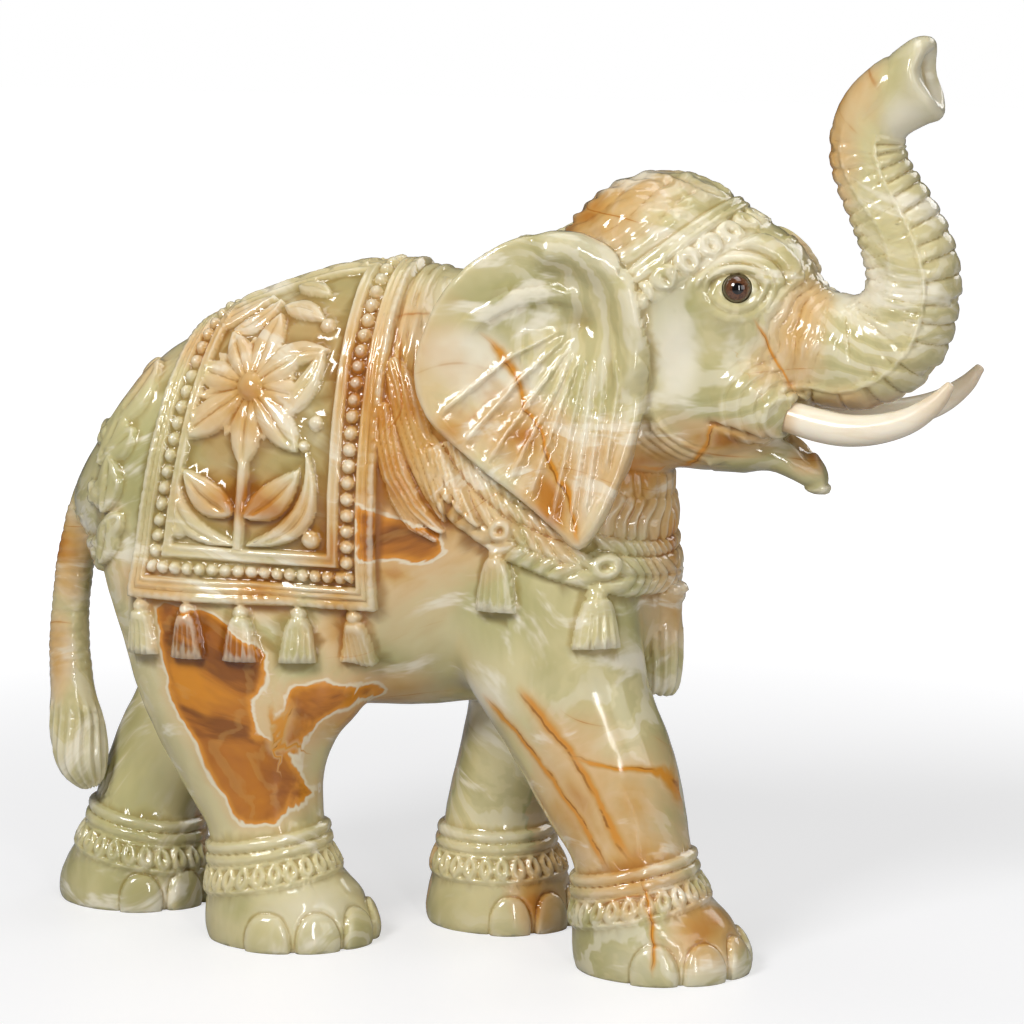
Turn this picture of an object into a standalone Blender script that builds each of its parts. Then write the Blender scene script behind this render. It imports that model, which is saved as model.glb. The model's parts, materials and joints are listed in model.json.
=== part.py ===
"""A carved marble elephant, walking, with its trunk raised: one stone carving, two set tusks and two glass eyes.

The carving is laid out on a grid of LAYOUT_HEIGHT parts to its height: x runs forward, y to the
elephant's left and z up from the floor. Everything that fits into the stone has its own real size.
"""

import math

import bmesh
import bpy
import numpy as np
from mathutils import Matrix, Vector
from mathutils.bvhtree import BVHTree

# Driving sizes, in metres
HEIGHT = 0.300
TUSK_ROOT_RADIUS = 0.0051
TUSK_SEAT_DEPTH = 0.0100
EYE_DIAMETER = 0.0092
EYE_SINK = 0.0014
SOCKET_CLEARANCE = 0.0003

# Meshing sizes, in metres and counts
CORE_VOXEL = 0.0022
CARVING_VOXEL = 0.0012
CORE_SMOOTHING = 22
CARVING_SMOOTHING = 4
CARVING_TRIANGLES = 8400
RING_SIDES = 32
TUSK_SIDES = 10

# The carver's grid
LAYOUT_HEIGHT = 957.0
UNIT = HEIGHT / LAYOUT_HEIGHT
GRID_CENTRE = np.array([-25.5, -2.9, 0.0])

# Colours, as linear red, green and blue
ONYX_COLOUR = (0.66, 0.60, 0.38, 1.0)
IVORY_COLOUR = (0.85, 0.74, 0.55, 1.0)
EYE_COLOUR = (0.12, 0.035, 0.015, 1.0)

# Trunk of the body, from rump to chest: x, back height, belly height, half width
TORSO = [
    (-494, 462, 432, 12),
    (-486, 478, 418, 34),
    (-464, 514, 400, 66),
    (-432, 562, 352, 92),
    (-388, 612, 284, 114),
    (-330, 648, 256, 124),
    (-260, 681, 246, 128),
    (-180, 707, 243, 129),
    (-110, 715, 244, 128),
    (-50, 713, 252, 125),
    (10, 702, 264, 119),
    (70, 678, 283, 111),
    (115, 638, 298, 97),
    (144, 585, 306, 75),
    (163, 530, 322, 47),
    (171, 490, 362, 20),
]

# Legs, from the sole up: x, y, z, half length, half width
LEGS = {
    "right_hind": [
        (-227, -68, -8, 91, 79), (-227, -68, 14, 94, 81), (-231, -68, 40, 88, 76), (-240, -68, 66, 75, 68),
        (-247, -68, 88, 66, 61), (-252, -68, 115, 64, 59), (-263, -68, 145, 72, 61), (-272, -69, 180, 84, 62),
        (-275, -70, 215, 101, 64), (-268, -71, 258, 128, 65), (-275, -70, 320, 140, 66), (-300, -68, 400, 138, 62),
        (-310, -64, 470, 106, 46),
    ],
    "left_hind": [
        (-449, 38, -8, 86, 78), (-449, 38, 14, 89, 80), (-447, 38, 40, 83, 74), (-443, 39, 66, 70, 66),
        (-438, 41, 90, 62, 60), (-430, 44, 120, 64, 58), (-411, 50, 160, 71, 60), (-383, 57, 200, 85, 62),
        (-344, 64, 250, 102, 64), (-306, 68, 320, 122, 66), (-306, 68, 400, 128, 62), (-310, 64, 470, 100, 46),
    ],
    "right_fore": [
        (183, -66, -8, 91, 80), (183, -66, 14, 94, 82), (177, -66, 40, 88, 77), (168, -66, 64, 76, 70),
        (160, -66, 86, 67, 63), (153, -66, 112, 64, 60), (134, -66, 157, 76, 62), (117, -66, 201, 86, 64),
        (98, -66, 243, 92, 66), (72, -66, 290, 98, 67), (58, -66, 350, 103, 64), (46, -64, 430, 106, 58),
        (36, -60, 510, 92, 44),
    ],
    "left_fore": [
        (-34, 66, -8, 81, 75), (-34, 66, 14, 84, 77), (-35, 66, 40, 78, 72), (-38, 66, 66, 69, 66),
        (-39, 66, 90, 61, 60), (-38, 66, 120, 57, 57), (-22, 66, 190, 57, 58), (-6, 66, 240, 62, 60),
        (15, 66, 300, 78, 64), (35, 66, 380, 97, 64), (40, 64, 450, 100, 56), (36, 60, 510, 90, 44),
    ],
}

# Trunk from the face to its tip: x, z, half depth, half width
TRUNK = [
    (285, 648, 61, 60), (331, 646, 60, 59), (368, 637, 55, 56), (409, 657, 52, 51), (426, 703, 48, 48),
    (421, 742, 47, 46), (405, 780, 44, 42), (385, 815, 40, 39), (374, 850, 38, 37), (382, 884, 37, 37),
    (402, 905, 36, 37), (424, 917, 36, 38), (442, 922, 39, 40), (450, 923, 37, 38),
]

# Tail from the rump to the tuft, which runs into the left hind leg: x, y, z, radius
TAIL = [
    (-462, 0, 478, 24), (-482, 0, 440, 21), (-497, 0, 388, 20), (-505, 0, 340, 20), (-508, 0, 292, 21),
    (-505, -2, 240, 24), (-498, -7, 196, 29), (-490, -11, 162, 28), (-484, -12, 142, 20), (-481, -12, 130, 9),
]

# Lower lip, from the throat to the spout: x, top, bottom, half width
LOWER_LIP = [
    (225, 566, 506, 52), (255, 562, 512, 46), (282, 556, 515, 41), (305, 551, 507, 34),
    (324, 548, 498, 24), (338, 545, 495, 12),
]

# Masses of the head and neck: centre and radii
HEAD_MASSES = [
    ((165, 0, 690), (120, 98, 130)),
    ((245, 0, 690), (86, 82, 86)),
    ((212, 0, 606), (108, 86, 94)),
    ((70, 0, 590), (128, 104, 128)),
]

# The bulge each tusk comes out of: x, z, half depth, half width, on the line y = TUSK_ROOT_Y
SHEATH = [(235, 604, 44, 30), (262, 596, 44, 34), (288, 586, 37, 30), (304, 581, 27, 24), (311, 579, 20, 18)]
TUSK_ROOT_Y = 52

# A tusk's middle line in front of the lip: x, y, z and share of the root radius
TUSK = [
    (312, 52, 579, 1.00), (345, 56, 572, 1.04), (375, 60, 569, 1.00), (408, 65, 573, 0.93),
    (440, 69, 584, 0.80), (465, 71, 602, 0.60), (480, 72, 620, 0.32),
]

# Ear outline in x and z, from the front of its root over the top and round to the tip
EAR_OUTLINE = [
    (152, 714), (118, 744), (66, 760), (18, 745), (-20, 712), (-45, 668), (-57, 618), (-44, 578),
    (0, 536), (52, 497), (90, 466), (114, 446), (124, 456), (146, 503), (160, 550), (168, 600), (166, 650),
]
EAR_THICKNESS = 22
EAR_ROOT_Y = 92
EAR_FLARE = 0.27
EAR_DISH = 15
EAR_PIT = (112, 676)

# The saddle cloth: hem height, and the back and front edges at the hem and at the spine
HEM = 368
CLOTH_BACK = (-383, -322)
CLOTH_FRONT = (-110, -96)
STEM_X = -257
CLOTH_TASSELS = (-369, -313, -254, -195, -136)

# Leaves are height, root x, root height, angle in degrees, length, half width and bend
CLOTH_LEAVES = (
    [(3.8, -249, 230, 22 + 45 * k, 98, 15, 0) for k in range(8)]
    + [(6.5, -249, 230, 45 * k - 6, 80, 25, 0, 1.5) for k in range(8)]
    + [
        (5.5, -252, 92, 40, 74, 15, -4), (5.5, -262, 92, 140, 74, 15, 4),
        (5.0, -250, 62, 52, 120, 12, -24), (5.0, -264, 62, 128, 120, 12, 24),
    ]
)
# Round bosses are x, height, radius and rise
CLOTH_DOTS = [
    (-249, 230, 17, 10), (-316, 76, 9, 5), (-184, 76, 9, 5), (-172, 250, 8, 5), (-322, 250, 8, 5),
    (-168, 318, 9, 5), (-300, 318, 9, 5),
]
RUMP_LEAVES = [
    (6, -392, 640, 232, 84, 14, 0), (6, -424, 606, 250, 78, 14, 0), (6, -404, 560, 236, 62, 12, 0),
    (7, -418, 520, 262, 66, 14, 0), (6, -402, 500, 200, 52, 14, 0), (7, -420, 460, 262, 50, 13, 0),
    (6, -398, 452, 214, 50, 13, 0),
]
RUMP_DOTS = [(-438, 405, 18, 10), (-428, 530, 15, 8), (-430, 470, 15, 8)]
SHOULDER_LEAVES = [
    (8, -92, 640, 279, 150, 17, 10), (9, -90, 560, 297, 138, 17, 14), (8, -62, 620, 290, 150, 15, 14),
    (7, -92, 500, 304, 108, 14, 10), (7, -40, 600, 286, 110, 12, 10),
]

# The collar's middle line as x and z, and its tassels: x, knot z, length, half width, ring rise
COLLAR_LINE = [
    (-90, 620), (-60, 560), (-40, 528), (-20, 500), (0, 480), (30, 458), (80, 438), (125, 425), (160, 414),
    (200, 404),
]
COLLAR_TASSELS = [(24, 434, 58, 22, 25), (125, 396, 56, 22, 27)]

# Anklets: centre x, y, z and lean in degrees
ANKLETS = [(-246, -68, 88, -11), (-438, 40, 76, 10), (160, -66, 86, -13), (-38, 66, 82, 0)]

# Feet: centre x, y, heading in degrees, half length and half width; toes at these angles from the heading
FEET = [(-227, -68, -16, 93, 80), (-449, 38, 6, 88, 79), (183, -66, -8, 93, 81), (-34, 66, 6, 83, 76)]
TOE_SPREAD = (-72, -36, 0, 36, 72)

# Folds fanning over the ear, as leaves from their root near the pit
EAR_RIBS = [
    (3.0, 104, 672, 206, 156, 10, 6), (3.2, 104, 664, 220, 168, 10, 6), (3.4, 106, 658, 234, 172, 11, 5),
    (3.6, 108, 654, 248, 186, 11, 4), (3.6, 114, 654, 262, 192, 12, 2), (5.0, 136, 700, 271, 200, 14, -6),
]

# The cap's strap lies in a plane; the eyes, the trunk's tip and the chest tassel sit at these places
CAP_POINT = (235, 0, 790)
CAP_FACING = (0.62, 0.0, -0.785)
EYE_PLACE = (262, 710)
TRUNK_TIP = (452, 922)
CHEST_TASSEL = [
    (166, 384, 20, 24), (168, 362, 17, 18), (167, 340, 20, 20), (165, 312, 22, 22), (162, 288, 21, 22), (160, 276, 16, 17),
]


def at(x, y, z):
    """A point of the carver's grid, in metres."""
    return Vector((np.array([x, y, z]) - GRID_CENTRE) * UNIT)


def clear_scene():
    for obj in list(bpy.data.objects):
        bpy.data.objects.remove(obj)


def collection(name):
    made = bpy.data.collections.new(name)
    bpy.context.scene.collection.children.link(made)
    return made


def material(name, colour, roughness):
    made = bpy.data.materials.new(name)
    made.use_nodes = True
    shader = made.node_tree.nodes["Principled BSDF"]
    shader.inputs["Base Color"].default_value = colour
    shader.inputs["Roughness"].default_value = roughness
    shader.inputs["Metallic"].default_value = 0.0
    return made


def add_object(name, mesh, into):
    obj = bpy.data.objects.new(name, mesh)
    into.objects.link(obj)
    return obj


def applied(obj):
    """The object's mesh with its modifiers applied."""
    graph = bpy.context.evaluated_depsgraph_get()
    return bpy.data.meshes.new_from_object(obj.evaluated_get(graph))


def eased(keys, steps=6):
    """A smooth run of rows through the key rows, by Catmull-Rom."""
    keys = np.array(keys, float)
    padded = np.vstack([2 * keys[0] - keys[1], keys, 2 * keys[-1] - keys[-2]])
    rows = []
    for a, b, c, d in zip(padded, padded[1:], padded[2:], padded[3:]):
        for t in np.linspace(0, 1, steps, endpoint=False):
            rows.append(
                0.5 * (2 * b + (c - a) * t + (2 * a - 5 * b + 4 * c - d) * t**2 + (3 * b - a - 3 * c + d) * t**3)
            )
    rows.append(keys[-1])
    return np.array(rows)


def loft(forms, centres, across, upright):
    """Adds a closed skin through elliptical rings, given each ring's centre and its two half axes."""
    turn = np.linspace(0, 2 * math.pi, RING_SIDES, endpoint=False)
    rings = []
    for centre, side, up in zip(centres, across, upright):
        points = centre + np.outer(np.cos(turn), side) + np.outer(np.sin(turn), up)
        rings.append([forms.verts.new(at(*point)) for point in points])
    for low, high in zip(rings, rings[1:]):
        for i in range(RING_SIDES):
            j = (i + 1) % RING_SIDES
            forms.faces.new((low[i], low[j], high[j], high[i]))
    forms.faces.new(rings[0][::-1])
    forms.faces.new(rings[-1])


def add_lengthwise(forms, stations):
    """A form along x, from its top and bottom heights and half width."""
    rows = eased(stations)
    x, top, bottom, half = rows.T
    zero = np.zeros_like(x)
    loft(
        forms,
        np.stack([x, zero, (top + bottom) / 2], 1),
        np.stack([zero, half, zero], 1),
        np.stack([zero, zero, (top - bottom) / 2], 1),
    )


def add_leg(forms, stations):
    x, y, z, long, wide = eased(stations).T
    zero = np.zeros_like(x)
    loft(forms, np.stack([x, y, z], 1), np.stack([long, zero, zero], 1), np.stack([zero, wide, zero], 1))


def add_tube(forms, centres, in_plane, sideways):
    """A form along a line that bends in the xz plane."""
    along = np.gradient(centres, axis=0)
    along /= np.linalg.norm(along, axis=1)[:, None]
    side = np.array([0.0, 1.0, 0.0])
    normal = np.cross(along, side)
    normal /= np.linalg.norm(normal, axis=1)[:, None]
    loft(forms, centres, normal * in_plane[:, None], np.tile(side, (len(centres), 1)) * sideways[:, None])


def add_trunk(forms):
    x, z, deep, wide = eased(TRUNK).T
    add_tube(forms, np.stack([x, np.zeros_like(x), z], 1), deep, wide)


def add_tail(forms):
    x, y, z, radius = eased(TAIL).T
    add_tube(forms, np.stack([x, y, z], 1), radius, radius)


def add_sheath(forms, side):
    x, z, deep, wide = eased(SHEATH).T
    add_tube(forms, np.stack([x, np.full_like(x, side * TUSK_ROOT_Y), z], 1), deep, wide)


def add_chest_tassel(forms):
    x, z, deep, wide = eased(CHEST_TASSEL).T
    add_tube(forms, np.stack([x, np.zeros_like(x), z], 1), deep, wide)


def add_mass(forms, centre, radii):
    made = bmesh.ops.create_uvsphere(forms, u_segments=RING_SIDES, v_segments=RING_SIDES // 2, radius=1.0)
    for vert in made["verts"]:
        vert.co = at(*(np.array(centre) + np.array(vert.co) * radii))


def ear_depth(p, q):
    """How far out of the middle plane the ear's middle surface lies, at x = p and z = q."""
    back = np.clip((150 - p) / 207, -0.2, 1.2)
    hang = np.clip((600 - q) / 150, 0, 1)
    flare = EAR_ROOT_Y + EAR_FLARE * (150 - p) - 10 * back**2 + 22 * hang
    from_pit = np.hypot((p - EAR_PIT[0]) * 0.8, (q - EAR_PIT[1]) * 0.55)
    dish = EAR_DISH * np.exp(-((from_pit / 62) ** 2))
    return flare - dish


def add_ears(forms):
    """Each ear is a flat leaf with a round rim, bent to flare from the head and dished at its root."""
    curve = bpy.data.curves.new("ear_outline", "CURVE")
    curve.dimensions = "2D"
    curve.fill_mode = "BOTH"
    curve.extrude = EAR_THICKNESS / 2 * UNIT - 0.0004
    curve.bevel_depth = 0.0004
    curve.resolution_u = 6
    spline = curve.splines.new("BEZIER")
    spline.bezier_points.add(len(EAR_OUTLINE) - 1)
    for point, (x, z) in zip(spline.bezier_points, EAR_OUTLINE):
        point.co = (x * UNIT, z * UNIT, 0)
        point.handle_left_type = point.handle_right_type = "AUTO"
    spline.use_cyclic_u = True
    leaf = bpy.data.objects.new("ear_leaf", curve)
    bpy.context.scene.collection.objects.link(leaf)
    flat = bpy.data.objects.new("ear_flat", applied(leaf))
    bpy.context.scene.collection.objects.link(flat)
    remesh = flat.modifiers.new("even", "REMESH")
    remesh.mode = "VOXEL"
    remesh.voxel_size = CARVING_VOXEL
    mesh = applied(flat)
    count = len(mesh.vertices)
    grid = np.empty(count * 3)
    mesh.vertices.foreach_get("co", grid)
    grid = grid.reshape(-1, 3) / UNIT
    for side in (-1, 1):
        bent = mesh.copy()
        depth = ear_depth(grid[:, 0], grid[:, 1]) + grid[:, 2]
        placed = (np.stack([grid[:, 0], side * depth, grid[:, 1]], 1) - GRID_CENTRE) * UNIT
        bent.vertices.foreach_set("co", placed.ravel())
        forms.from_mesh(bent)
        bpy.data.meshes.remove(bent)
    for obj in (leaf, flat):
        bpy.data.objects.remove(obj)


def evened(forms, name, voxel, smoothing):
    """One even skin round all the forms, with its creases eased."""
    mesh = bpy.data.meshes.new(name)
    forms.to_mesh(mesh)
    forms.free()
    obj = bpy.data.objects.new(name, mesh)
    bpy.context.scene.collection.objects.link(obj)
    remesh = obj.modifiers.new("even", "REMESH")
    remesh.mode = "VOXEL"
    remesh.voxel_size = voxel
    smooth = obj.modifiers.new("ease", "SMOOTH")
    smooth.factor = 0.5
    smooth.iterations = smoothing
    made = applied(obj)
    bpy.data.objects.remove(obj)
    return made


def core_mesh():
    """Body, legs, head and trunk, whose joins are broad and soft."""
    forms = bmesh.new()
    add_lengthwise(forms, TORSO)
    for stations in LEGS.values():
        add_leg(forms, stations)
    for centre, radii in HEAD_MASSES:
        add_mass(forms, centre, radii)
    add_trunk(forms)
    return evened(forms, "core", CORE_VOXEL, CORE_SMOOTHING)


def plain_carving():
    """The core with its thin members: ears, tail, lip and tusk sheaths."""
    forms = bmesh.new()
    forms.from_mesh(core_mesh())
    add_ears(forms)
    add_tail(forms)
    add_chest_tassel(forms)
    add_lengthwise(forms, LOWER_LIP)
    for side in (-1, 1):
        add_sheath(forms, side)
    return evened(forms, "carving", CARVING_VOXEL, CARVING_SMOOTHING)


class Skin:
    """The carving's surface, on which relief is raised along its normals, in parts of the grid."""

    def __init__(self, mesh):
        self.mesh = mesh
        count = len(mesh.vertices)
        points = np.empty(count * 3)
        mesh.vertices.foreach_get("co", points)
        self.points = points.reshape(-1, 3) / UNIT + GRID_CENTRE
        normals = np.empty(count * 3)
        mesh.vertex_normals.foreach_get("vector", normals)
        self.normals = normals.reshape(-1, 3)
        self.x, y, self.z = self.points.T
        self.y = y
        self.out = np.abs(y)
        self.facing = np.abs(self.normals[:, 1])
        self.lift = np.zeros(count)
        edge = edge_distance(self.x, self.z, EAR_OUTLINE)
        self.ear_edge = edge
        self.on_ear = (edge > -9) & (self.out > ear_depth(self.x, self.z) - EAR_THICKNESS)

    def add(self, height, where=1.0):
        self.lift += height * where

    def cover(self, height, where):
        """Lays a form on top of what is there already."""
        self.lift = np.where(where, np.maximum(self.lift, height), self.lift)

    def carve(self):
        moved = (self.points + self.normals * self.lift[:, None] - GRID_CENTRE) * UNIT
        self.mesh.vertices.foreach_set("co", moved.ravel())
        self.mesh.update()


def step(low, high, value):
    t = np.clip((value - low) / (high - low), 0, 1)
    return t * t * (3 - 2 * t)


def band(low, high, value, soft=2.0):
    return step(low - soft, low + soft, value) * (1 - step(high - soft, high + soft, value))


def round_ridge(distance, half):
    return np.sqrt(np.clip(1 - (distance / half) ** 2, 0, None))


def edge_distance(x, z, outline):
    """Distance in from a closed outline, negative outside it."""
    outline = np.array(outline, float)
    nearest = np.full(len(x), 1e9)
    inside = np.zeros(len(x), bool)
    for (ax, az), (bx, bz) in zip(outline, np.roll(outline, -1, axis=0)):
        nearest = np.minimum(nearest, to_segment(x, z, ax, az, bx, bz)[0])
        crosses = ((az > z) != (bz > z)) & (x < (bx - ax) * (z - az) / (bz - az + 1e-9) + ax)
        inside ^= crosses
    return np.where(inside, nearest, -nearest)


def to_segment(x, z, ax, az, bx, bz):
    """Distance to a segment, and how far along it the nearest point lies."""
    length = math.hypot(bx - ax, bz - az)
    along = np.clip(((x - ax) * (bx - ax) + (z - az) * (bz - az)) / length, 0, length)
    near_x = ax + along * (bx - ax) / length
    near_z = az + along * (bz - az) / length
    return np.hypot(x - near_x, z - near_z), along


def to_line(x, z, points):
    """Distance to a line of points, and how far along the line the nearest point lies."""
    nearest = np.full(len(x), 1e9)
    travelled = np.zeros(len(x))
    before = 0.0
    for (ax, az), (bx, bz) in zip(points, points[1:]):
        distance, along = to_segment(x, z, ax, az, bx, bz)
        closer = distance < nearest
        nearest = np.where(closer, distance, nearest)
        travelled = np.where(closer, before + along, travelled)
        before += math.hypot(bx - ax, bz - az)
    return nearest, travelled


def leaf(s, t, root_s, root_t, angle, length, half, bend=0.0, power=0.8):
    """A leaf lying at an angle in degrees, rounded across, as a height from 0 to 1; power sets its widest part."""
    turn = math.radians(angle)
    along = (s - root_s) * math.cos(turn) + (t - root_t) * math.sin(turn)
    across = (t - root_t) * math.cos(turn) - (s - root_s) * math.sin(turn)
    share = np.clip(along / length, 0, 1)
    across = across - bend * 4 * share * (1 - share)
    width = half * np.sin(math.pi * share**power) ** 0.75 + 1e-6
    return np.where((along > 0) & (along < length), round_ridge(across, width), 0)


def dot(s, t, centre_s, centre_t, radius):
    return round_ridge(np.hypot(s - centre_s, t - centre_t), radius)


def tassel(s, t, knot_s, knot_t, drop, half):
    """A knot with a bell-shaped tassel under it, as a height from 0 to 1."""
    below = knot_t - t
    share = np.clip((below - 6) / (drop - 6), 0, 1)
    width = half * (0.45 + 0.55 * share**0.55)
    bell = np.where((below > 4) & (below < drop), round_ridge(s - knot_s, width) ** 0.7, 0)
    return np.maximum(bell, 0.8 * dot(s, t, knot_s, knot_t, half * 0.55))


def back_profile(x):
    """Height, half height and half width of the body's middle, at each x."""
    stations = np.array(TORSO, float).T
    top = np.interp(x, stations[0], stations[1])
    bottom = np.interp(x, stations[0], stations[2])
    return (top + bottom) / 2, (top - bottom) / 2, np.interp(x, stations[0], stations[3])


def cloth_place(skin):
    """Height above the hem and distance down from the spine, both measured over the body's curve."""
    middle, tall, wide = back_profile(skin.x)
    turn = np.arctan2((skin.z - middle) / tall, skin.out / wide)
    rise = np.zeros_like(turn)
    crown = np.zeros_like(turn)
    steps = 12
    for k in range(steps):
        part = (k + 0.5) / steps
        rise += np.hypot(tall * np.cos(turn * part), wide * np.sin(turn * part)) * turn / steps
        whole = math.pi / 2 * part
        crown += np.hypot(tall * math.cos(whole), wide * math.sin(whole)) * math.pi / 2 / steps
    return rise + 1.03 * (middle - HEM), crown - rise


def carve_cloth(skin):
    """The saddle cloth, with its border, frame, flower and tassels."""
    x = skin.x
    up, down = cloth_place(skin)
    body = ~skin.on_ear & (skin.out > 4) & (skin.z > HEM - 70)
    back_edge = CLOTH_BACK[0] + (CLOTH_BACK[1] - CLOTH_BACK[0]) * up / 400
    front_edge = CLOTH_FRONT[0] + (CLOTH_FRONT[1] - CLOTH_FRONT[0]) * up / 400
    edge = np.minimum(np.minimum(x - back_edge, front_edge - x), up)
    inner = np.minimum(edge, down + 25)
    slab = 7.0 * step(-2, 2, edge)
    border = 2.5 * band(0, 9, edge) + 2.0 * band(13, 22, edge) + 3.5 * round_ridge(edge - 34, 7)
    frame = 2.5 * band(44, 57, inner)
    panel = -2.5 * step(58, 61, inner)
    skin.add(slab + border + frame + panel, body & (edge > -4))
    ornament = np.zeros_like(x)
    for piece in CLOTH_LEAVES:
        ornament = np.maximum(ornament, piece[0] * leaf(x, up, *piece[1:]))
    for s, t, radius, height in CLOTH_DOTS:
        ornament = np.maximum(ornament, height * dot(x, up, s, t, radius))
    stem = 6.0 * round_ridge(x - STEM_X, 6.5) * band(58, 150, up)
    skin.add(np.maximum(ornament, stem), body & (inner > 59))
    hanging = np.zeros_like(x)
    for knot in CLOTH_TASSELS:
        hanging = np.maximum(hanging, 12.0 * tassel(x, skin.z, knot, HEM - 11, 52, 20))
    skin.cover(hanging, body & (skin.out > 60) & (up < 2))


def carve_garlands(skin):
    """Leaves and buds on the rump, and long leaves on the shoulder."""
    body = ~skin.on_ear & (skin.out > 20)
    height = np.zeros_like(skin.x)
    for piece in RUMP_LEAVES + SHOULDER_LEAVES:
        height = np.maximum(height, piece[0] * leaf(skin.x, skin.z, *piece[1:]))
    for x, z, radius, rise in RUMP_DOTS:
        height = np.maximum(height, rise * dot(skin.x, skin.z, x, z, radius))
    skin.cover(height, body)


def carve_collar(skin):
    """The collar: a thick strand with a rope and a ruffle above it, and its tassels."""
    line = np.array(COLLAR_LINE, float)
    level = np.interp(skin.x, line[:, 0], line[:, 1])
    slope = np.interp(skin.x, (line[1:, 0] + line[:-1, 0]) / 2, np.diff(line[:, 1]) / np.diff(line[:, 0]))
    above = (skin.z - level) / np.sqrt(1 + slope**2)
    body = ~skin.on_ear & (skin.x > -66) & (skin.z < 600)
    strand = 9.0 * round_ridge(above + 3, 16) ** 0.7
    rope = 8.0 * round_ridge(above - 24, 8.5)
    ruffle = 6.0 * round_ridge(above - 56, 17) ** 0.6
    skin.add(np.maximum(np.maximum(strand, rope), ruffle), body)
    hanging = np.zeros_like(skin.x)
    for x, z, drop, half, ring in COLLAR_TASSELS:
        hanging = np.maximum(hanging, 14.0 * tassel(skin.x, skin.z, x, z, drop, half))
        hanging = np.maximum(hanging, 13.0 * dot(skin.x, skin.z, x + 4, z + ring, 12))
    skin.cover(hanging, body & (skin.out > 45))


def carve_anklets(skin):
    for x, y, z, tilt in ANKLETS:
        turn = math.radians(tilt)
        above = (skin.x - x) * math.sin(turn) + (skin.z - z) * math.cos(turn)
        near = np.hypot(skin.x - x, skin.y - y) < 96
        rings = 4.0 * round_ridge(above - 20, 6.5) + 4.0 * round_ridge(above - 8.5, 6.5)
        cuff = 2.5 * band(-26, 26, above) + 2.5 * round_ridge(above + 12, 11) ** 0.6
        skin.add(rings + cuff, near)


def carve_toes(skin):
    for x, y, heading, long, wide in FEET:
        around = np.arctan2((skin.y - y) / wide, (skin.x - x) / long)
        near = (np.hypot(skin.x - x, skin.y - y) < 120) & (skin.z < 60)
        for spread in TOE_SPREAD:
            turn = np.angle(np.exp(1j * (around - math.radians(heading + spread))))
            toe = round_ridge(np.hypot(turn * 88 / 24, (skin.z - 12) / 33), 1.0)
            skin.cover(7.0 * toe, near & (np.abs(turn) < 0.35))


def carve_ears(skin):
    """The rolled front fold and the long folds that fan out from the ear's root."""
    x, z = skin.x, skin.z
    outer = skin.on_ear & (skin.out > ear_depth(x, z) - 3)
    fold = 7.0 * round_ridge(skin.ear_edge - 8, 15) * step(-20, 40, x) * step(560, 620, z)
    ribs = np.zeros_like(x)
    for rib in EAR_RIBS:
        ribs = np.maximum(ribs, rib[0] * leaf(x, z, *rib[1:]))
    skin.add(np.maximum(fold, ribs), outer)


def carve_head(skin):
    """Cap strap, eye lids, brows, cheek folds, the hollow lip and the open trunk tip."""
    x, y, z = skin.x, skin.out, skin.z
    back = (x - CAP_POINT[0]) * CAP_FACING[0] + (z - CAP_POINT[2]) * CAP_FACING[2]
    head = ~skin.on_ear & (x > 40) & (x < 300) & (z > 690)
    strap = 5.0 * round_ridge(back - 7, 8) ** 0.7 + 4.0 * round_ridge(back - 29, 13) ** 0.7
    skin.add(strap + 2.5 * step(4, -4, back), head)
    lid_x, lid_z = x - EYE_PLACE[0], z - EYE_PLACE[1]
    around = np.hypot(lid_x, lid_z * 1.15)
    face = ~skin.on_ear & (y > 30) & (np.hypot(lid_x, lid_z) < 75)
    lids = 4.5 * round_ridge(around - 20, 8)
    brow = 4.5 * round_ridge(np.hypot(lid_x + 4, lid_z + 2) - 40, 8) * step(-4, 12, lid_z)
    skin.add(np.maximum(lids, brow), face)
    cheek = ~skin.on_ear & (y > 25) & (x > 160) & (x < 330) & (z < 660) & (z > 500)
    away = np.hypot(x - 312, (z - 582) * 0.9)
    folds = 3.0 * np.cos(away * 2 * math.pi / 17) * band(30, 92, away, 8) * step(318, 300, x)
    skin.add(folds, cheek)
    lip = (x > 282) & (x < 336) & (skin.normals[:, 2] > 0.2) & (z > 520) & (z < 566)
    skin.add(-9.0 * round_ridge(skin.y, 16) * band(290, 330, x, 8), lip)
    tip = np.hypot((z - TRUNK_TIP[1]) / 26, skin.y / 22)
    skin.add(-16.0 * step(1.0, 0.6, tip), (x > 428) & (skin.normals[:, 0] > 0.35) & (z > 870))


def carve_trunk(skin):
    """Folds across the outer side of the raised trunk."""
    line = [(row[0], row[1]) for row in TRUNK]
    away, along = to_line(skin.x, skin.z, line)
    on_trunk = (away < 70) & (along > 20) & (skin.x > 300) & ~skin.on_ear
    folds = 1.3 * np.cos(along * 2 * math.pi / 24) * band(20, 330, along, 14)
    skin.add(folds, on_trunk & ((skin.x > 345) | (skin.z > 600)))


def carved(mesh):
    skin = Skin(mesh)
    carve_cloth(skin)
    carve_garlands(skin)
    carve_collar(skin)
    carve_anklets(skin)
    carve_toes(skin)
    carve_ears(skin)
    carve_head(skin)
    carve_trunk(skin)
    skin.carve()
    return mesh


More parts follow.
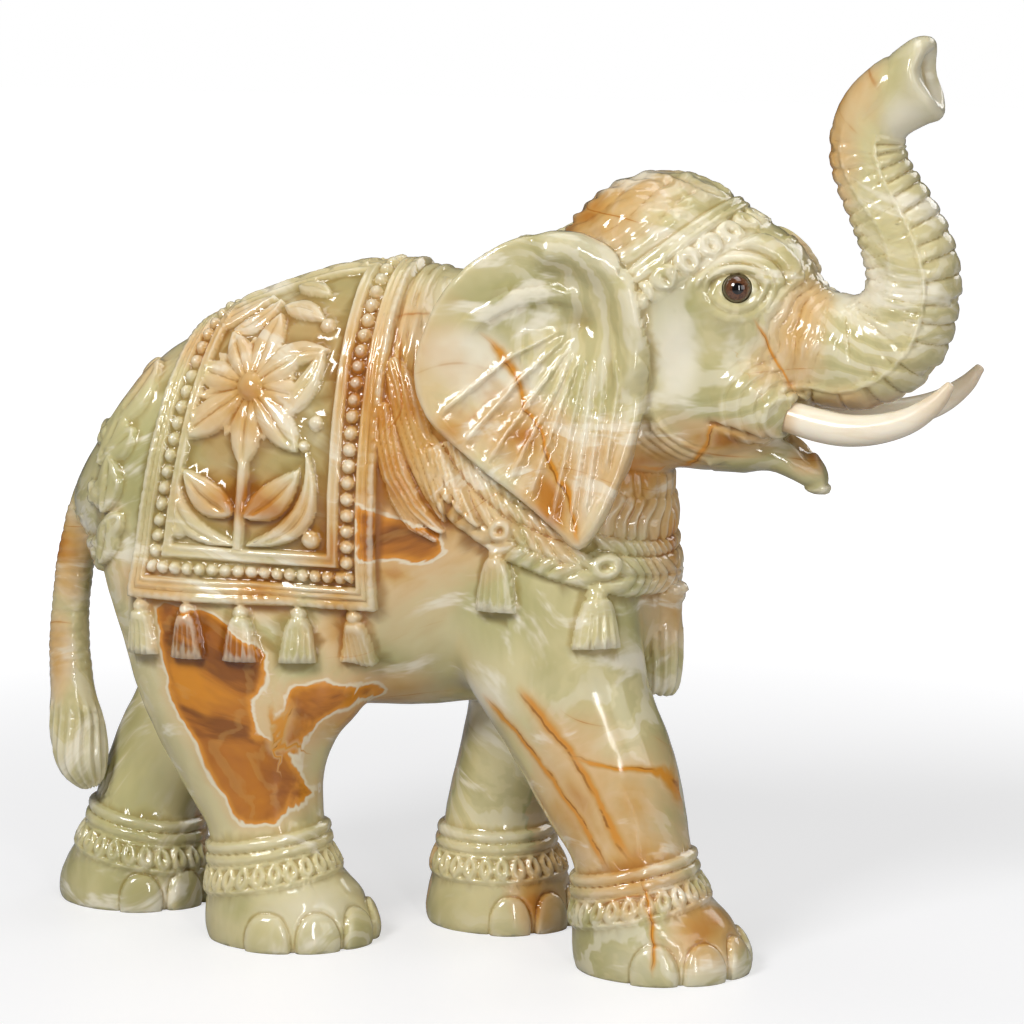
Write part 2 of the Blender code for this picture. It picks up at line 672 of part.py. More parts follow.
def tusk_mesh(side, grown, behind, reach):
    """A tusk, or the socket it sits in when grown: its seat runs back into the stone from the sheath."""
    rows = eased(TUSK, 2)
    start, onward = rows[0, :3], rows[0, :3] - rows[1, :3]
    onward /= np.linalg.norm(onward)
    seat = start + onward * (TUSK_SEAT_DEPTH + behind) / UNIT
    centres = np.vstack([seat, rows[:, :3]])
    sizes = np.concatenate([[0.96], rows[:, 3]]) * TUSK_ROOT_RADIUS + grown
    keep = centres[:, 0] < reach
    centres, sizes = centres[keep], sizes[keep]
    along = np.gradient(centres, axis=0)
    forms = bmesh.new()
    turn = np.linspace(0, 2 * math.pi, TUSK_SIDES, endpoint=False)
    rings = []
    for centre, size, way in zip(centres, sizes, along):
        first = np.cross(way, [0, 1, 0])
        first /= np.linalg.norm(first)
        second = np.cross(way, first)
        second /= np.linalg.norm(second)
        ring = centre + (np.outer(np.cos(turn), first) + np.outer(np.sin(turn), second)) * size / UNIT
        rings.append([forms.verts.new(at(p[0], side * p[1], p[2])) for p in ring])
    for low, high in zip(rings, rings[1:]):
        for i in range(TUSK_SIDES):
            j = (i + 1) % TUSK_SIDES
            forms.faces.new((low[i], low[j], high[j], high[i]))
    forms.faces.new(rings[0][::-1])
    tip = centres[-1] + along[-1] / np.linalg.norm(along[-1]) * sizes[-1] * 0.6 / UNIT
    peak = forms.verts.new(at(tip[0], side * tip[1], tip[2]))
    for i in range(TUSK_SIDES):
        forms.faces.new((rings[-1][i], rings[-1][(i + 1) % TUSK_SIDES], peak))
    bmesh.ops.recalc_face_normals(forms, faces=forms.faces)
    mesh = bpy.data.meshes.new("tusk")
    forms.to_mesh(mesh)
    forms.free()
    return mesh


def eye_seat(tree, side):
    """Where an eye's centre sits, sunk a little below the lids."""
    start = at(EYE_PLACE[0], side * 200, EYE_PLACE[1])
    hit, normal, _, _ = tree.ray_cast(start, Vector((0, -side, 0)))
    facing = Vector((0.24, side * 0.96, 0.12)).normalized()
    return hit - facing * EYE_SINK


def ball_mesh(centre, radius, rows):
    forms = bmesh.new()
    bmesh.ops.create_uvsphere(forms, u_segments=rows * 2, v_segments=rows, radius=radius)
    bmesh.ops.rotate(forms, verts=forms.verts, cent=(0, 0, 0), matrix=Matrix.Rotation(math.pi / 2, 3, "X"))
    bmesh.ops.translate(forms, verts=forms.verts, vec=centre)
    mesh = bpy.data.meshes.new("eye")
    forms.to_mesh(mesh)
    forms.free()
    return mesh


def box_mesh(low, high):
    forms = bmesh.new()
    bmesh.ops.create_cube(forms, size=1.0)
    for vert in forms.verts:
        vert.co = Vector([a + (b - a) * (c + 0.5) for a, b, c in zip(low, high, vert.co)])
    mesh = bpy.data.meshes.new("trim")
    forms.to_mesh(mesh)
    forms.free()
    return mesh


def cut(obj, cutters, into):
    """Takes each cutter's form out of the object."""
    for name, mesh in cutters:
        cutter = add_object(name, mesh, into)
        cutter.hide_render = True
        cutter.display_type = "WIRE"
        boolean = obj.modifiers.new(name, "BOOLEAN")
        boolean.operation = "DIFFERENCE"
        boolean.solver = "EXACT"
        boolean.object = cutter


def build():
    clear_scene()
    elephant = collection("marble_elephant")
    cutters = collection("cutters")
    onyx = material("onyx_marble", ONYX_COLOUR, 0.15)
    ivory = material("ivory_inlay", IVORY_COLOUR, 0.25)
    glass = material("brown_glass", EYE_COLOUR, 0.05)

    fine = carved(plain_carving())
    tree = fine_tree(fine)
    seats = {side: eye_seat(tree, side) for side in (-1, 1)}
    body = add_object("elephant", thinned(fine), elephant)
    body.data.materials.append(onyx)

    socket = SOCKET_CLEARANCE
    floor = [("sole_trim", box_mesh((-0.4, -0.2, -0.05), (0.4, 0.2, 0.0)))]
    tusk_sockets = [
        ("tusk_socket_" + name, tusk_mesh(side, socket, socket, 352))
        for name, side in (("right", -1), ("left", 1))
    ]
    eye_sockets = [
        ("eye_socket_" + name, ball_mesh(seats[side], EYE_DIAMETER / 2 + socket, 7))
        for name, side in (("right", -1), ("left", 1))
    ]
    cut(body, floor + tusk_sockets + eye_sockets, cutters)

    for name, side in (("right", -1), ("left", 1)):
        tusk = add_object("tusk_" + name, tusk_mesh(side, 0.0, 0.0, 600), elephant)
        tusk.data.materials.append(ivory)
        eye = add_object("eye_" + name, ball_mesh(seats[side], EYE_DIAMETER / 2, 7), elephant)
        eye.data.materials.append(glass)


def fine_tree(mesh):
    forms = bmesh.new()
    forms.from_mesh(mesh)
    tree = BVHTree.FromBMesh(forms)
    forms.free()
    return tree


def thinned(mesh):
    """The carving with only the facets its shape needs."""
    obj = bpy.data.objects.new("fine_carving", mesh)
    bpy.context.scene.collection.objects.link(obj)
    decimate = obj.modifiers.new("thin", "DECIMATE")
    decimate.ratio = CARVING_TRIANGLES / (2 * len(mesh.polygons))
    decimate.use_collapse_triangulate = True
    made = applied(obj)
    bpy.data.objects.remove(obj)
    return made


build()
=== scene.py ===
"""The look of a carved marble elephant: fine relief, polished onyx, ivory tusks and brown glass eyes."""

import json
import math

import bmesh
import bpy
import numpy as np
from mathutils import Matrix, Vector
from mathutils.kdtree import KDTree

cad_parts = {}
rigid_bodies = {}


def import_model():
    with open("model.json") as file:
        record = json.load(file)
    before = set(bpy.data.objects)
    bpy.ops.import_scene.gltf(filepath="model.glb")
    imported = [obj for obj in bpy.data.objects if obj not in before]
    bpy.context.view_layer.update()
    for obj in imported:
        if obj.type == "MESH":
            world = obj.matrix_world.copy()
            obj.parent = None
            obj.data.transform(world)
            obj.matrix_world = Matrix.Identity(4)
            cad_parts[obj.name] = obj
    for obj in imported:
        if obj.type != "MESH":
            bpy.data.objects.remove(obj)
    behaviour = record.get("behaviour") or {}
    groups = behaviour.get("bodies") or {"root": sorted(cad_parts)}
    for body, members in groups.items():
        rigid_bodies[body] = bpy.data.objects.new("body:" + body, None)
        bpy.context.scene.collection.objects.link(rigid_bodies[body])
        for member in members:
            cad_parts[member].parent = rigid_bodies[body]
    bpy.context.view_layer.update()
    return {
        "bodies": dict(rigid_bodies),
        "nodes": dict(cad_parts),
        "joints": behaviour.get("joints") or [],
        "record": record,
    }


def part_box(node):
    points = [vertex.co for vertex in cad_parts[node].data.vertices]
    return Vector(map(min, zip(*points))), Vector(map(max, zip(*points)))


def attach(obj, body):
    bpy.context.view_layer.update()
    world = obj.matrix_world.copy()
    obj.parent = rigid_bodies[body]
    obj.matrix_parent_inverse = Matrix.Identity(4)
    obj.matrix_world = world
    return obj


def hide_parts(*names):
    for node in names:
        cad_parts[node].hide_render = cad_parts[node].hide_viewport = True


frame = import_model()

# Driving sizes, in metres, the same as the solid's
HEIGHT = 0.300
TUSK_ROOT_RADIUS = 0.0051
TUSK_SEAT_DEPTH = 0.0100
SOCKET_CLEARANCE = 0.0003

# Meshing: voxels in metres, then counts, and the x at which a tusk's socket ends
CORE_VOXEL = 0.0022
CORE_SMOOTHING = 22
EAR_VOXEL = 0.0012
EAR_ROUNDING = 0.0004
FINE_VOXEL = 0.0006
FINE_SMOOTHING = 14
CARVING_TRIANGLES = 190000
RING_SIDES = 32
TUSK_SIDES = 40
SOCKET_REACH = 352
HOLLOW_ROUNDS = 14

# The elephant's sides, as the sign of y
SIDES = {"right": -1, "left": 1}

# The carver's grid
LAYOUT_HEIGHT = 957.0
UNIT = HEIGHT / LAYOUT_HEIGHT
GRID_CENTRE = np.array([-25.5, -2.9, 0.0])

# Trunk of the body, from rump to chest: x, back height, belly height, half width
TORSO = [
    (-494, 462, 432, 12), (-486, 478, 418, 34), (-464, 514, 400, 66), (-432, 562, 352, 92),
    (-388, 612, 284, 114), (-330, 648, 256, 124), (-260, 681, 246, 128), (-180, 707, 243, 129),
    (-110, 715, 244, 128), (-50, 713, 252, 125), (10, 702, 264, 119), (70, 678, 283, 111),
    (115, 638, 298, 97), (144, 585, 306, 75), (163, 530, 322, 47), (171, 490, 362, 20),
]

# Legs, from the sole up: x, y, z, half length, half width
LEGS = {
    "right_hind": [
        (-227, -68, -8, 91, 79), (-227, -68, 14, 94, 81), (-231, -68, 40, 88, 76), (-240, -68, 66, 75, 68),
        (-247, -68, 88, 66, 61), (-252, -68, 115, 64, 59), (-263, -68, 145, 72, 61), (-272, -69, 180, 84, 62),
        (-275, -70, 215, 101, 64), (-268, -71, 258, 128, 65), (-275, -70, 320, 140, 66),
        (-300, -68, 400, 138, 62), (-310, -64, 470, 106, 46),
    ],
    "left_hind": [
        (-449, 38, -8, 86, 78), (-449, 38, 14, 89, 80), (-447, 38, 40, 83, 74), (-443, 39, 66, 70, 66),
        (-438, 41, 90, 62, 60), (-430, 44, 120, 64, 58), (-411, 50, 160, 71, 60), (-383, 57, 200, 85, 62),
        (-344, 64, 250, 102, 64), (-306, 68, 320, 122, 66), (-306, 68, 400, 128, 62),
        (-310, 64, 470, 100, 46),
    ],
    "right_fore": [
        (183, -66, -8, 91, 80), (183, -66, 14, 94, 82), (177, -66, 40, 88, 77), (168, -66, 64, 76, 70),
        (160, -66, 86, 67, 63), (153, -66, 112, 64, 60), (134, -66, 157, 76, 62), (117, -66, 201, 86, 64),
        (98, -66, 243, 92, 66), (72, -66, 290, 98, 67), (58, -66, 350, 103, 64), (46, -64, 430, 106, 58),
        (36, -60, 510, 92, 44),
    ],
    "left_fore": [
        (-34, 66, -8, 81, 75), (-34, 66, 14, 84, 77), (-35, 66, 40, 78, 72), (-38, 66, 66, 69, 66),
        (-39, 66, 90, 61, 60), (-38, 66, 120, 57, 57), (-22, 66, 190, 57, 58), (-6, 66, 240, 62, 60),
        (15, 66, 300, 78, 64), (35, 66, 380, 97, 64), (40, 64, 450, 100, 56), (36, 60, 510, 90, 44),
    ],
}

# Trunk from the face to its tip: x, z, half depth, half width
TRUNK = [
    (285, 648, 61, 60), (331, 646, 60, 59), (368, 637, 55, 56), (409, 657, 52, 51), (426, 703, 48, 48),
    (421, 742, 47, 46), (405, 780, 44, 42), (385, 815, 40, 39), (374, 850, 38, 37), (382, 884, 37, 37),
    (402, 905, 36, 37), (424, 917, 36, 38), (442, 922, 39, 40), (450, 923, 37, 38),
]

# Tail from the rump to the tuft, which runs into the left hind leg: x, y, z, radius
TAIL = [
    (-462, 0, 478, 24), (-482, 0, 440, 21), (-497, 0, 388, 20), (-505, 0, 340, 20), (-508, 0, 292, 21),
    (-505, -2, 240, 24), (-498, -7, 196, 29), (-490, -11, 162, 28), (-484, -12, 142, 20), (-481, -12, 130, 9),
]

# Lower lip, from the throat to the spout: x, top, bottom, half width
LOWER_LIP = [
    (225, 566, 506, 52), (255, 562, 512, 46), (282, 556, 515, 41), (305, 551, 507, 34),
    (324, 548, 498, 24), (338, 545, 495, 12),
]

# Masses of the head and neck: centre and radii
HEAD_MASSES = [
    ((165, 0, 690), (120, 98, 130)), ((245, 0, 690), (86, 82, 86)),
    ((212, 0, 606), (108, 86, 94)), ((70, 0, 590), (128, 104, 128)),
]

# The bulge each tusk comes out of: x, z, half depth, half width, on the line y = TUSK_ROOT_Y
SHEATH = [(235, 604, 44, 30), (262, 596, 44, 34), (288, 586, 37, 30), (304, 581, 27, 24), (311, 579, 20, 18)]
TUSK_ROOT_Y = 52

# A tusk's middle line in front of the lip: x, y, z and share of the root radius
TUSK = [
    (312, 52, 579, 1.00), (345, 56, 572, 1.04), (375, 60, 569, 1.00), (408, 65, 573, 0.93),
    (440, 69, 584, 0.80), (465, 71, 602, 0.60), (480, 72, 620, 0.32),
]

# Ear outline in x and z, from the front of its root over the top and round to the tip
EAR_OUTLINE = [
    (152, 714), (118, 744), (66, 760), (18, 745), (-20, 712), (-45, 668), (-57, 618), (-44, 578),
    (0, 536), (52, 497), (90, 466), (114, 446), (124, 456), (146, 503), (160, 550), (168, 600), (166, 650),
]
EAR_THICKNESS = 22
EAR_ROOT_Y = 92
EAR_FLARE = 0.27
EAR_DISH = 15
EAR_PIT = (112, 676)

# The saddle cloth: hem height, back and front edges at the hem and at the spine, its drop, and how far in
# from its edge the bead row and the panel lie
HEM = 368
CLOTH_BACK = (-383, -322)
CLOTH_FRONT = (-110, -96)
CLOTH_DROP = 400
BEAD_INSET = 34.5
PANEL_INSET = 59.5
STEM_X = -257
CLOTH_TASSELS = (-369, -313, -254, -195, -136)

# Flowers on the rump: x, height, radius and rise
RUMP_DOTS = [(-438, 405, 18, 10), (-428, 530, 15, 8), (-430, 470, 15, 8)]

# The collar's middle line as x and z, and its tassels: x, knot z, length, half width, ring rise
COLLAR_LINE = [
    (-90, 620), (-60, 560), (-40, 528), (-20, 500), (0, 480), (30, 458), (80, 438), (125, 425), (160, 414),
    (200, 404),
]
COLLAR_TASSELS = [(24, 434, 58, 22, 25), (125, 396, 56, 22, 27)]

# Anklets: centre x, y, z and lean in degrees, and the number and pitch of their loops
ANKLETS = [(-246, -68, 88, -11), (-438, 40, 76, 10), (160, -66, 86, -13), (-38, 66, 82, 0)]
ANKLET_LOOPS = 24
ANKLET_PITCH = 17

# Feet: centre x, y, heading in degrees, half length and half width; toes at these angles from the heading
FEET = [(-227, -68, -16, 93, 80), (-449, 38, 6, 88, 79), (183, -66, -8, 93, 81), (-34, 66, 6, 83, 76)]
TOE_SPREAD = (-72, -36, 0, 36, 72)

# The flower on the cloth: its place, and each petal's angle, length and half width
FLOWER = (-248, 230)
PETALS = [
    (268, 84, 17), (312, 86, 18), (352, 66, 15), (34, 64, 15), (76, 84, 16), (118, 66, 15), (166, 72, 16),
    (218, 92, 18),
]
SEPALS = [
    (290, 58, 9), (332, 60, 9), (14, 50, 8), (55, 58, 9), (97, 56, 9), (142, 58, 9), (192, 62, 9),
    (243, 58, 9),
]

# Leaves on the cloth and the rump: height, root x, root height, angle in degrees, length, half width and bend
PANEL_LEAVES = [
    (8.5, -262, 97, 142, 70, 18, 6), (8.5, -248, 95, 41, 80, 18, -6), (8.0, -258, 64, 127, 112, 13, 32),
    (8.0, -248, 64, 57, 124, 13, -34), (8.0, -229, 256, 14, 66, 14, 4), (8.0, -210, 200, 62, 84, 13, -6),
    (7.5, -226, 320, -16, 52, 12, 4), (7.5, -280, 290, 40, 62, 12, -5), (7.5, -306, 292, 36, 78, 11, 6),
    (7.0, -220, 350, -18, 46, 11, 4), (7.0, -250, 362, 22, 50, 10, 3), (7.0, -306, 232, 128, 34, 11, 4),
    (7.0, -312, 262, 108, 40, 10, -3),
]

# Round bosses on the cloth: x, height and radius
PANEL_BOSSES = [
    (-324, 76, 10), (-176, 74, 10), (-172, 196, 8), (-330, 214, 7), (-172, 300, 8), (-322, 310, 7),
    (-184, 172, 6), (-334, 164, 6),
]
RUMP_SPRAY = [
    (8, -386, 640, 228, 86, 17, 4), (8, -372, 606, 232, 88, 16, 6), (8, -404, 560, 246, 66, 16, 4),
    (8, -384, 540, 214, 58, 15, 4), (9, -412, 510, 262, 60, 17, 4), (8, -396, 486, 206, 48, 14, 0),
    (9, -412, 446, 258, 52, 17, 0), (8, -394, 452, 222, 50, 14, 0),
]

# Long leaves on the shoulder: a middle line in x and z, a half width and a height
SHOULDER_SPRAY = [
    ([(-96, 628), (-84, 603), (-73, 570), (-54, 523), (-32, 466)], 18, 9.0),
    ([(-100, 584), (-95, 549), (-84, 512), (-65, 481), (-33, 453)], 15, 9.5),
    ([(-75, 582), (-59, 549), (-45, 524), (-24, 486)], 11, 8.0),
    ([(-55, 556), (-37, 529), (-23, 503), (-12, 483), (5, 463)], 10, 7.5),
    ([(-92, 520), (-84, 492), (-66, 462), (-40, 444)], 9, 7.0),
]

# Folds over the eye: reach back, reach forward, height, rise and breadth
LID_ARCS = [
    (29, 23, 16, 5.0, 8), (37, 32, 25, 3.0, 9), (52, 45, 39, 6.0, 14), (60, 59, 55, 4.6, 13),
    (66, 68, 70, 2.0, 13),
]

# The trunk tip is drawn out and in: place in x and z, radius, narrowness across, pull in x and z
TIP_LOBES = [
    ((442, 957), 16, 0.5, (2, 3)), ((424, 950), 18, 0.4, (-1, 5)), ((453, 888), 19, 0.5, (5, -9)),
    ((426, 876), 18, 0.4, (4, -8)), ((449, 926), 22, 0.1, (-8, 0)),
]

# The ear's rolled front fold, the ledge behind its pit and the sharp folds fanning out below, in x and z
EAR_FOLD = [(56, 746), (100, 744), (136, 728), (156, 698), (161, 664), (158, 628), (148, 584)]
EAR_LEDGE = [(108, 694), (76, 702), (38, 696), (2, 676), (-28, 636)]
EAR_FAN = [
    [(100, 672), (40, 640), (-34, 576)], [(100, 666), (50, 618), (-8, 546)],
    [(102, 660), (62, 600), (16, 526)], [(104, 656), (76, 590), (40, 509)],
    [(107, 654), (88, 586), (62, 491)], [(112, 654), (102, 580), (86, 471)],
    [(118, 656), (115, 580), (104, 463)], [(126, 660), (128, 590), (118, 476)],
    [(134, 672), (144, 610), (136, 520)],
]

# The plane of the cap's strap, and the places of the eye, the trunk's tip and the folds' middles, in x and z
CAP_POINT = (235, 0, 790)
CAP_FACING = (0.62, 0.0, -0.785)
EYE_PLACE = (262, 710)
TRUNK_TIP = (452, 922)
TUSK_WHORL = (313, 579)
JAW_MIDDLE = (246, 618)
MOUTH_LINE = [(236, 572), (262, 566), (290, 556), (312, 556)]

# The tassel on the chest, from the top: x, z, half depth, half width
CHEST_TASSEL = [
    (166, 384, 20, 24), (168, 362, 17, 18), (167, 340, 20, 20), (165, 312, 22, 22), (162, 288, 21, 22),
    (160, 276, 16, 17),
]

# The photograph's view: side, distance, centre height and shift in pixels, grid units to a pixel, and angles
PHOTO_SIDE = 1024
VIEW_DISTANCE = 4200
VIEW_CENTRE = 430
VIEW_SHIFT = 6
PHOTO_PIXEL = 1000 / 953
VIEW_AZIMUTH = 18.0
VIEW_ELEVATION = 9.5
SENSOR_WIDTH = 36


def at(x, y, z):
    """A point of the carver's grid, in metres."""
    return Vector((np.array([x, y, z]) - GRID_CENTRE) * UNIT)


def linked(name, data):
    """A new object in the scene."""
    obj = bpy.data.objects.new(name, data)
    bpy.context.scene.collection.objects.link(obj)
    return obj


def modify(obj, kind, **settings):
    modifier = obj.modifiers.new(kind.lower(), kind)
    for name, value in settings.items():
        setattr(modifier, name, value)


def applied(obj):
    """The object's mesh with its modifiers applied. The object itself goes."""
    graph = bpy.context.evaluated_depsgraph_get()
    made = bpy.data.meshes.new_from_object(obj.evaluated_get(graph))
    bpy.data.objects.remove(obj)
    return made


def mesh_points(mesh):
    points = np.empty(len(mesh.vertices) * 3)
    mesh.vertices.foreach_get("co", points)
    return points.reshape(-1, 3)


def mesh_normals(mesh):
    normals = np.empty(len(mesh.vertices) * 3)
    mesh.vertex_normals.foreach_get("vector", normals)
    return normals.reshape(-1, 3)


def grid_places(mesh):
    """Where each vertex lies on the carver's grid."""
    return mesh_points(mesh) / UNIT + GRID_CENTRE


def eased(keys, steps=6):
    """A smooth run of rows through the key rows, by Catmull-Rom."""
    keys = np.array(keys, float)
    padded = np.vstack([2 * keys[0] - keys[1], keys, 2 * keys[-1] - keys[-2]])
    rows = []
    for a, b, c, d in zip(padded, padded[1:], padded[2:], padded[3:]):
        for t in np.linspace(0, 1, steps, endpoint=False):
            bend = (2 * a - 5 * b + 4 * c - d) * t**2 + (3 * b - a - 3 * c + d) * t**3
            rows.append(0.5 * (2 * b + (c - a) * t + bend))
    rows.append(keys[-1])
    return np.array(rows)


def loft(forms, centres, across, upright):
    """Adds a closed skin through elliptical rings, given each ring's centre and its two half axes."""
    turn = np.linspace(0, 2 * math.pi, RING_SIDES, endpoint=False)
    rings = []
    for centre, side, up in zip(centres, across, upright):
        points = centre + np.outer(np.cos(turn), side) + np.outer(np.sin(turn), up)
        rings.append([forms.verts.new(at(*point)) for point in points])
    for low, high in zip(rings, rings[1:]):
        for i in range(RING_SIDES):
            j = (i + 1) % RING_SIDES
            forms.faces.new((low[i], low[j], high[j], high[i]))
    forms.faces.new(rings[0][::-1])
    forms.faces.new(rings[-1])


def add_lengthwise(forms, stations):
    """A form along x, from its top and bottom heights and half width."""
    x, top, bottom, half = eased(stations).T
    zero = np.zeros_like(x)
    centres = np.stack([x, zero, (top + bottom) / 2], 1)
    loft(forms, centres, np.stack([zero, half, zero], 1), np.stack([zero, zero, (top - bottom) / 2], 1))


def add_leg(forms, stations):
    x, y, z, long, wide = eased(stations).T
    zero = np.zeros_like(x)
    loft(forms, np.stack([x, y, z], 1), np.stack([long, zero, zero], 1), np.stack([zero, wide, zero], 1))


def add_tube(forms, centres, in_plane, sideways):
    """A form along a line that bends in the xz plane."""
    along = np.gradient(centres, axis=0)
    along /= np.linalg.norm(along, axis=1)[:, None]
    side = np.array([0.0, 1.0, 0.0])
    normal = np.cross(along, side)
    normal /= np.linalg.norm(normal, axis=1)[:, None]
    loft(forms, centres, normal * in_plane[:, None], np.tile(side, (len(centres), 1)) * sideways[:, None])


def add_bent(forms, stations, y=0.0):
    """A form along a line of x and z, with its half depth and half width, at one distance across."""
    x, z, deep, wide = eased(stations).T
    add_tube(forms, np.stack([x, np.full_like(x, y), z], 1), deep, wide)


def add_tail(forms):
    x, y, z, radius = eased(TAIL).T
    add_tube(forms, np.stack([x, y, z], 1), radius, radius)


def add_mass(forms, centre, radii):
    made = bmesh.ops.create_uvsphere(forms, u_segments=RING_SIDES, v_segments=RING_SIDES // 2, radius=1.0)
    for vert in made["verts"]:
        vert.co = at(*(np.array(centre) + np.array(vert.co) * radii))


def ear_depth(p, q):
    """How far out of the middle plane the ear's middle surface lies, at x = p and z = q."""
    back = np.clip((150 - p) / 207, -0.2, 1.2)
    hang = np.clip((600 - q) / 150, 0, 1)
    flare = EAR_ROOT_Y + EAR_FLARE * (150 - p) - 10 * back**2 + 22 * hang
    from_pit = np.hypot((p - EAR_PIT[0]) * 0.8, (q - EAR_PIT[1]) * 0.55)
    dish = EAR_DISH * np.exp(-((from_pit / 62) ** 2))
    return flare - dish


def add_ears(forms):
    """Each ear is a flat leaf with a round rim, bent to flare from the head and dished at its root."""
    curve = bpy.data.curves.new("ear_outline", "CURVE")
    curve.dimensions = "2D"
    curve.fill_mode = "BOTH"
    curve.extrude = EAR_THICKNESS / 2 * UNIT - EAR_ROUNDING
    curve.bevel_depth = EAR_ROUNDING
    curve.resolution_u = 6
    spline = curve.splines.new("BEZIER")
    spline.bezier_points.add(len(EAR_OUTLINE) - 1)
    for point, (x, z) in zip(spline.bezier_points, EAR_OUTLINE):
        point.co = (x * UNIT, z * UNIT, 0)
        point.handle_left_type = point.handle_right_type = "AUTO"
    spline.use_cyclic_u = True
    flat = linked("ear_flat", applied(linked("ear_leaf", curve)))
    modify(flat, "REMESH", mode="VOXEL", voxel_size=EAR_VOXEL)
    mesh = applied(flat)
    grid = mesh_points(mesh) / UNIT
    for side in SIDES.values():
        bent = mesh.copy()
        depth = ear_depth(grid[:, 0], grid[:, 1]) + grid[:, 2]
        placed = (np.stack([grid[:, 0], side * depth, grid[:, 1]], 1) - GRID_CENTRE) * UNIT
        bent.vertices.foreach_set("co", placed.ravel())
        forms.from_mesh(bent)
        bpy.data.meshes.remove(bent)


def bare_mesh(name, forms):
    mesh = bpy.data.meshes.new(name)
    forms.to_mesh(mesh)
    forms.free()
    return mesh


def evened(forms, name, voxel, smoothing):
    """One even skin round all the forms, with its creases eased."""
    obj = linked(name, bare_mesh(name, forms))
    modify(obj, "REMESH", mode="VOXEL", voxel_size=voxel)
    modify(obj, "SMOOTH", factor=0.5, iterations=smoothing)
    return applied(obj)


def core_mesh():
    """Body, legs, head and trunk, whose joins are broad and soft."""
    forms = bmesh.new()
    add_lengthwise(forms, TORSO)
    for stations in LEGS.values():
        add_leg(forms, stations)
    for centre, radii in HEAD_MASSES:
        add_mass(forms, centre, radii)
    add_bent(forms, TRUNK)
    return evened(forms, "core", CORE_VOXEL, CORE_SMOOTHING)


def plain_carving():
    """The core with its thin members: ears, tail, lip and tusk sheaths."""
    forms = bmesh.new()
    forms.from_mesh(core_mesh())
    add_ears(forms)
    add_tail(forms)
    add_bent(forms, CHEST_TASSEL)
    add_lengthwise(forms, LOWER_LIP)
    for side in SIDES.values():
        add_bent(forms, SHEATH, side * TUSK_ROOT_Y)
    return evened(forms, "carving", FINE_VOXEL, FINE_SMOOTHING)


class Skin:
    """The carving's surface, on which relief is raised along its normals, in parts of the grid."""

    def __init__(self, mesh):
        self.mesh = mesh
        self.points = grid_places(mesh)
        self.normals = mesh_normals(mesh)
        self.shift = np.zeros_like(self.points)
        # ground holds the share of painted shade on the sunk ground
        self.lift, self.ground, self.cloth = np.zeros((3, len(self.points)))
        x, y, z = self.points.T
        self.ear_edge = edge_distance(x, z, EAR_OUTLINE)
        self.on_ear = (self.ear_edge > -9) & (np.abs(y) > ear_depth(x, z) - EAR_THICKNESS)

    def part(self, where):
        return Patch(self, np.nonzero(where)[0])

    def carve(self):
        moved = (self.points + self.normals * self.lift[:, None] + self.shift - GRID_CENTRE) * UNIT
        self.mesh.vertices.foreach_set("co", moved.ravel())
        self.mesh.update()


class Patch:
    """The part of the skin that one piece of carving works on."""

    def __init__(self, skin, index):
        self.skin = skin
        self.index = index
        self.x, self.y, self.z = skin.points[index].T
        self.out = np.abs(self.y)
        self.normals = skin.normals[index]
        self.ear_edge = skin.ear_edge[index]

    def add(self, height, where=True):
        self.skin.lift[self.index] += np.where(where, height, 0)

    def cover(self, height, where=True):
        """Lays a form on top of what is there already."""
        now = self.skin.lift[self.index]
        self.skin.lift[self.index] = np.where(where, np.maximum(now, height), now)

    def paint_sunk_shade(self, share):
        """Marks ground cut down between forms, which is painted darker than what stands up from it, as painted
        shade.
        """
        self.skin.ground[self.index] = np.maximum(self.skin.ground[self.index], share)


def step(low, high, value):
    t = np.clip((value - low) / (high - low), 0, 1)
    return t * t * (3 - 2 * t)


def band(low, high, value, soft=1.2):
    return step(low - soft, low + soft, value) * (1 - step(high - soft, high + soft, value))


def round_ridge(distance, half):
    return np.sqrt(np.clip(1 - (distance / half) ** 2, 0, None))


def groove(distance, width):
    return -np.exp(-((distance / width) ** 2))


def wave(run, pitch):
    return np.cos(run * (2 * math.pi / pitch))


def edge_distance(x, z, outline):
    """Distance in from a closed outline, negative outside it."""
    outline = np.array(outline, float)
    nearest = np.full(len(x), 1e9)
    inside = np.zeros(len(x), bool)
    for (ax, az), (bx, bz) in zip(outline, np.roll(outline, -1, axis=0)):
        nearest = np.minimum(nearest, to_segment(x, z, ax, az, bx, bz)[0])
        crosses = ((az > z) != (bz > z)) & (x < (bx - ax) * (z - az) / (bz - az + 1e-9) + ax)
        inside ^= crosses
    return np.where(inside, nearest, -nearest)


def to_segment(x, z, ax, az, bx, bz):
    """Distance to a segment, and how far along it the nearest point lies."""
    length = math.hypot(bx - ax, bz - az)
    along = np.clip(((x - ax) * (bx - ax) + (z - az) * (bz - az)) / length, 0, length)
    near_x = ax + along * (bx - ax) / length
    near_z = az + along * (bz - az) / length
    return np.hypot(x - near_x, z - near_z), along


def line_length(line):
    return sum(math.dist(a, b) for a, b in zip(line, line[1:]))


def to_line(x, z, points):
    """Distance to a line of points, how far along it the nearest point lies, and which side of it."""
    nearest = np.full(len(x), 1e9)
    travelled = np.zeros(len(x))
    side = np.ones(len(x))
    before = 0.0
    for (ax, az), (bx, bz) in zip(points, points[1:]):
        distance, along = to_segment(x, z, ax, az, bx, bz)
        closer = distance < nearest
        nearest = np.where(closer, distance, nearest)
        travelled = np.where(closer, before + along, travelled)
        across = (bx - ax) * (z - az) - (bz - az) * (x - ax)
        side = np.where(closer, np.sign(across), side)
        before += math.hypot(bx - ax, bz - az)
    return nearest, travelled, side


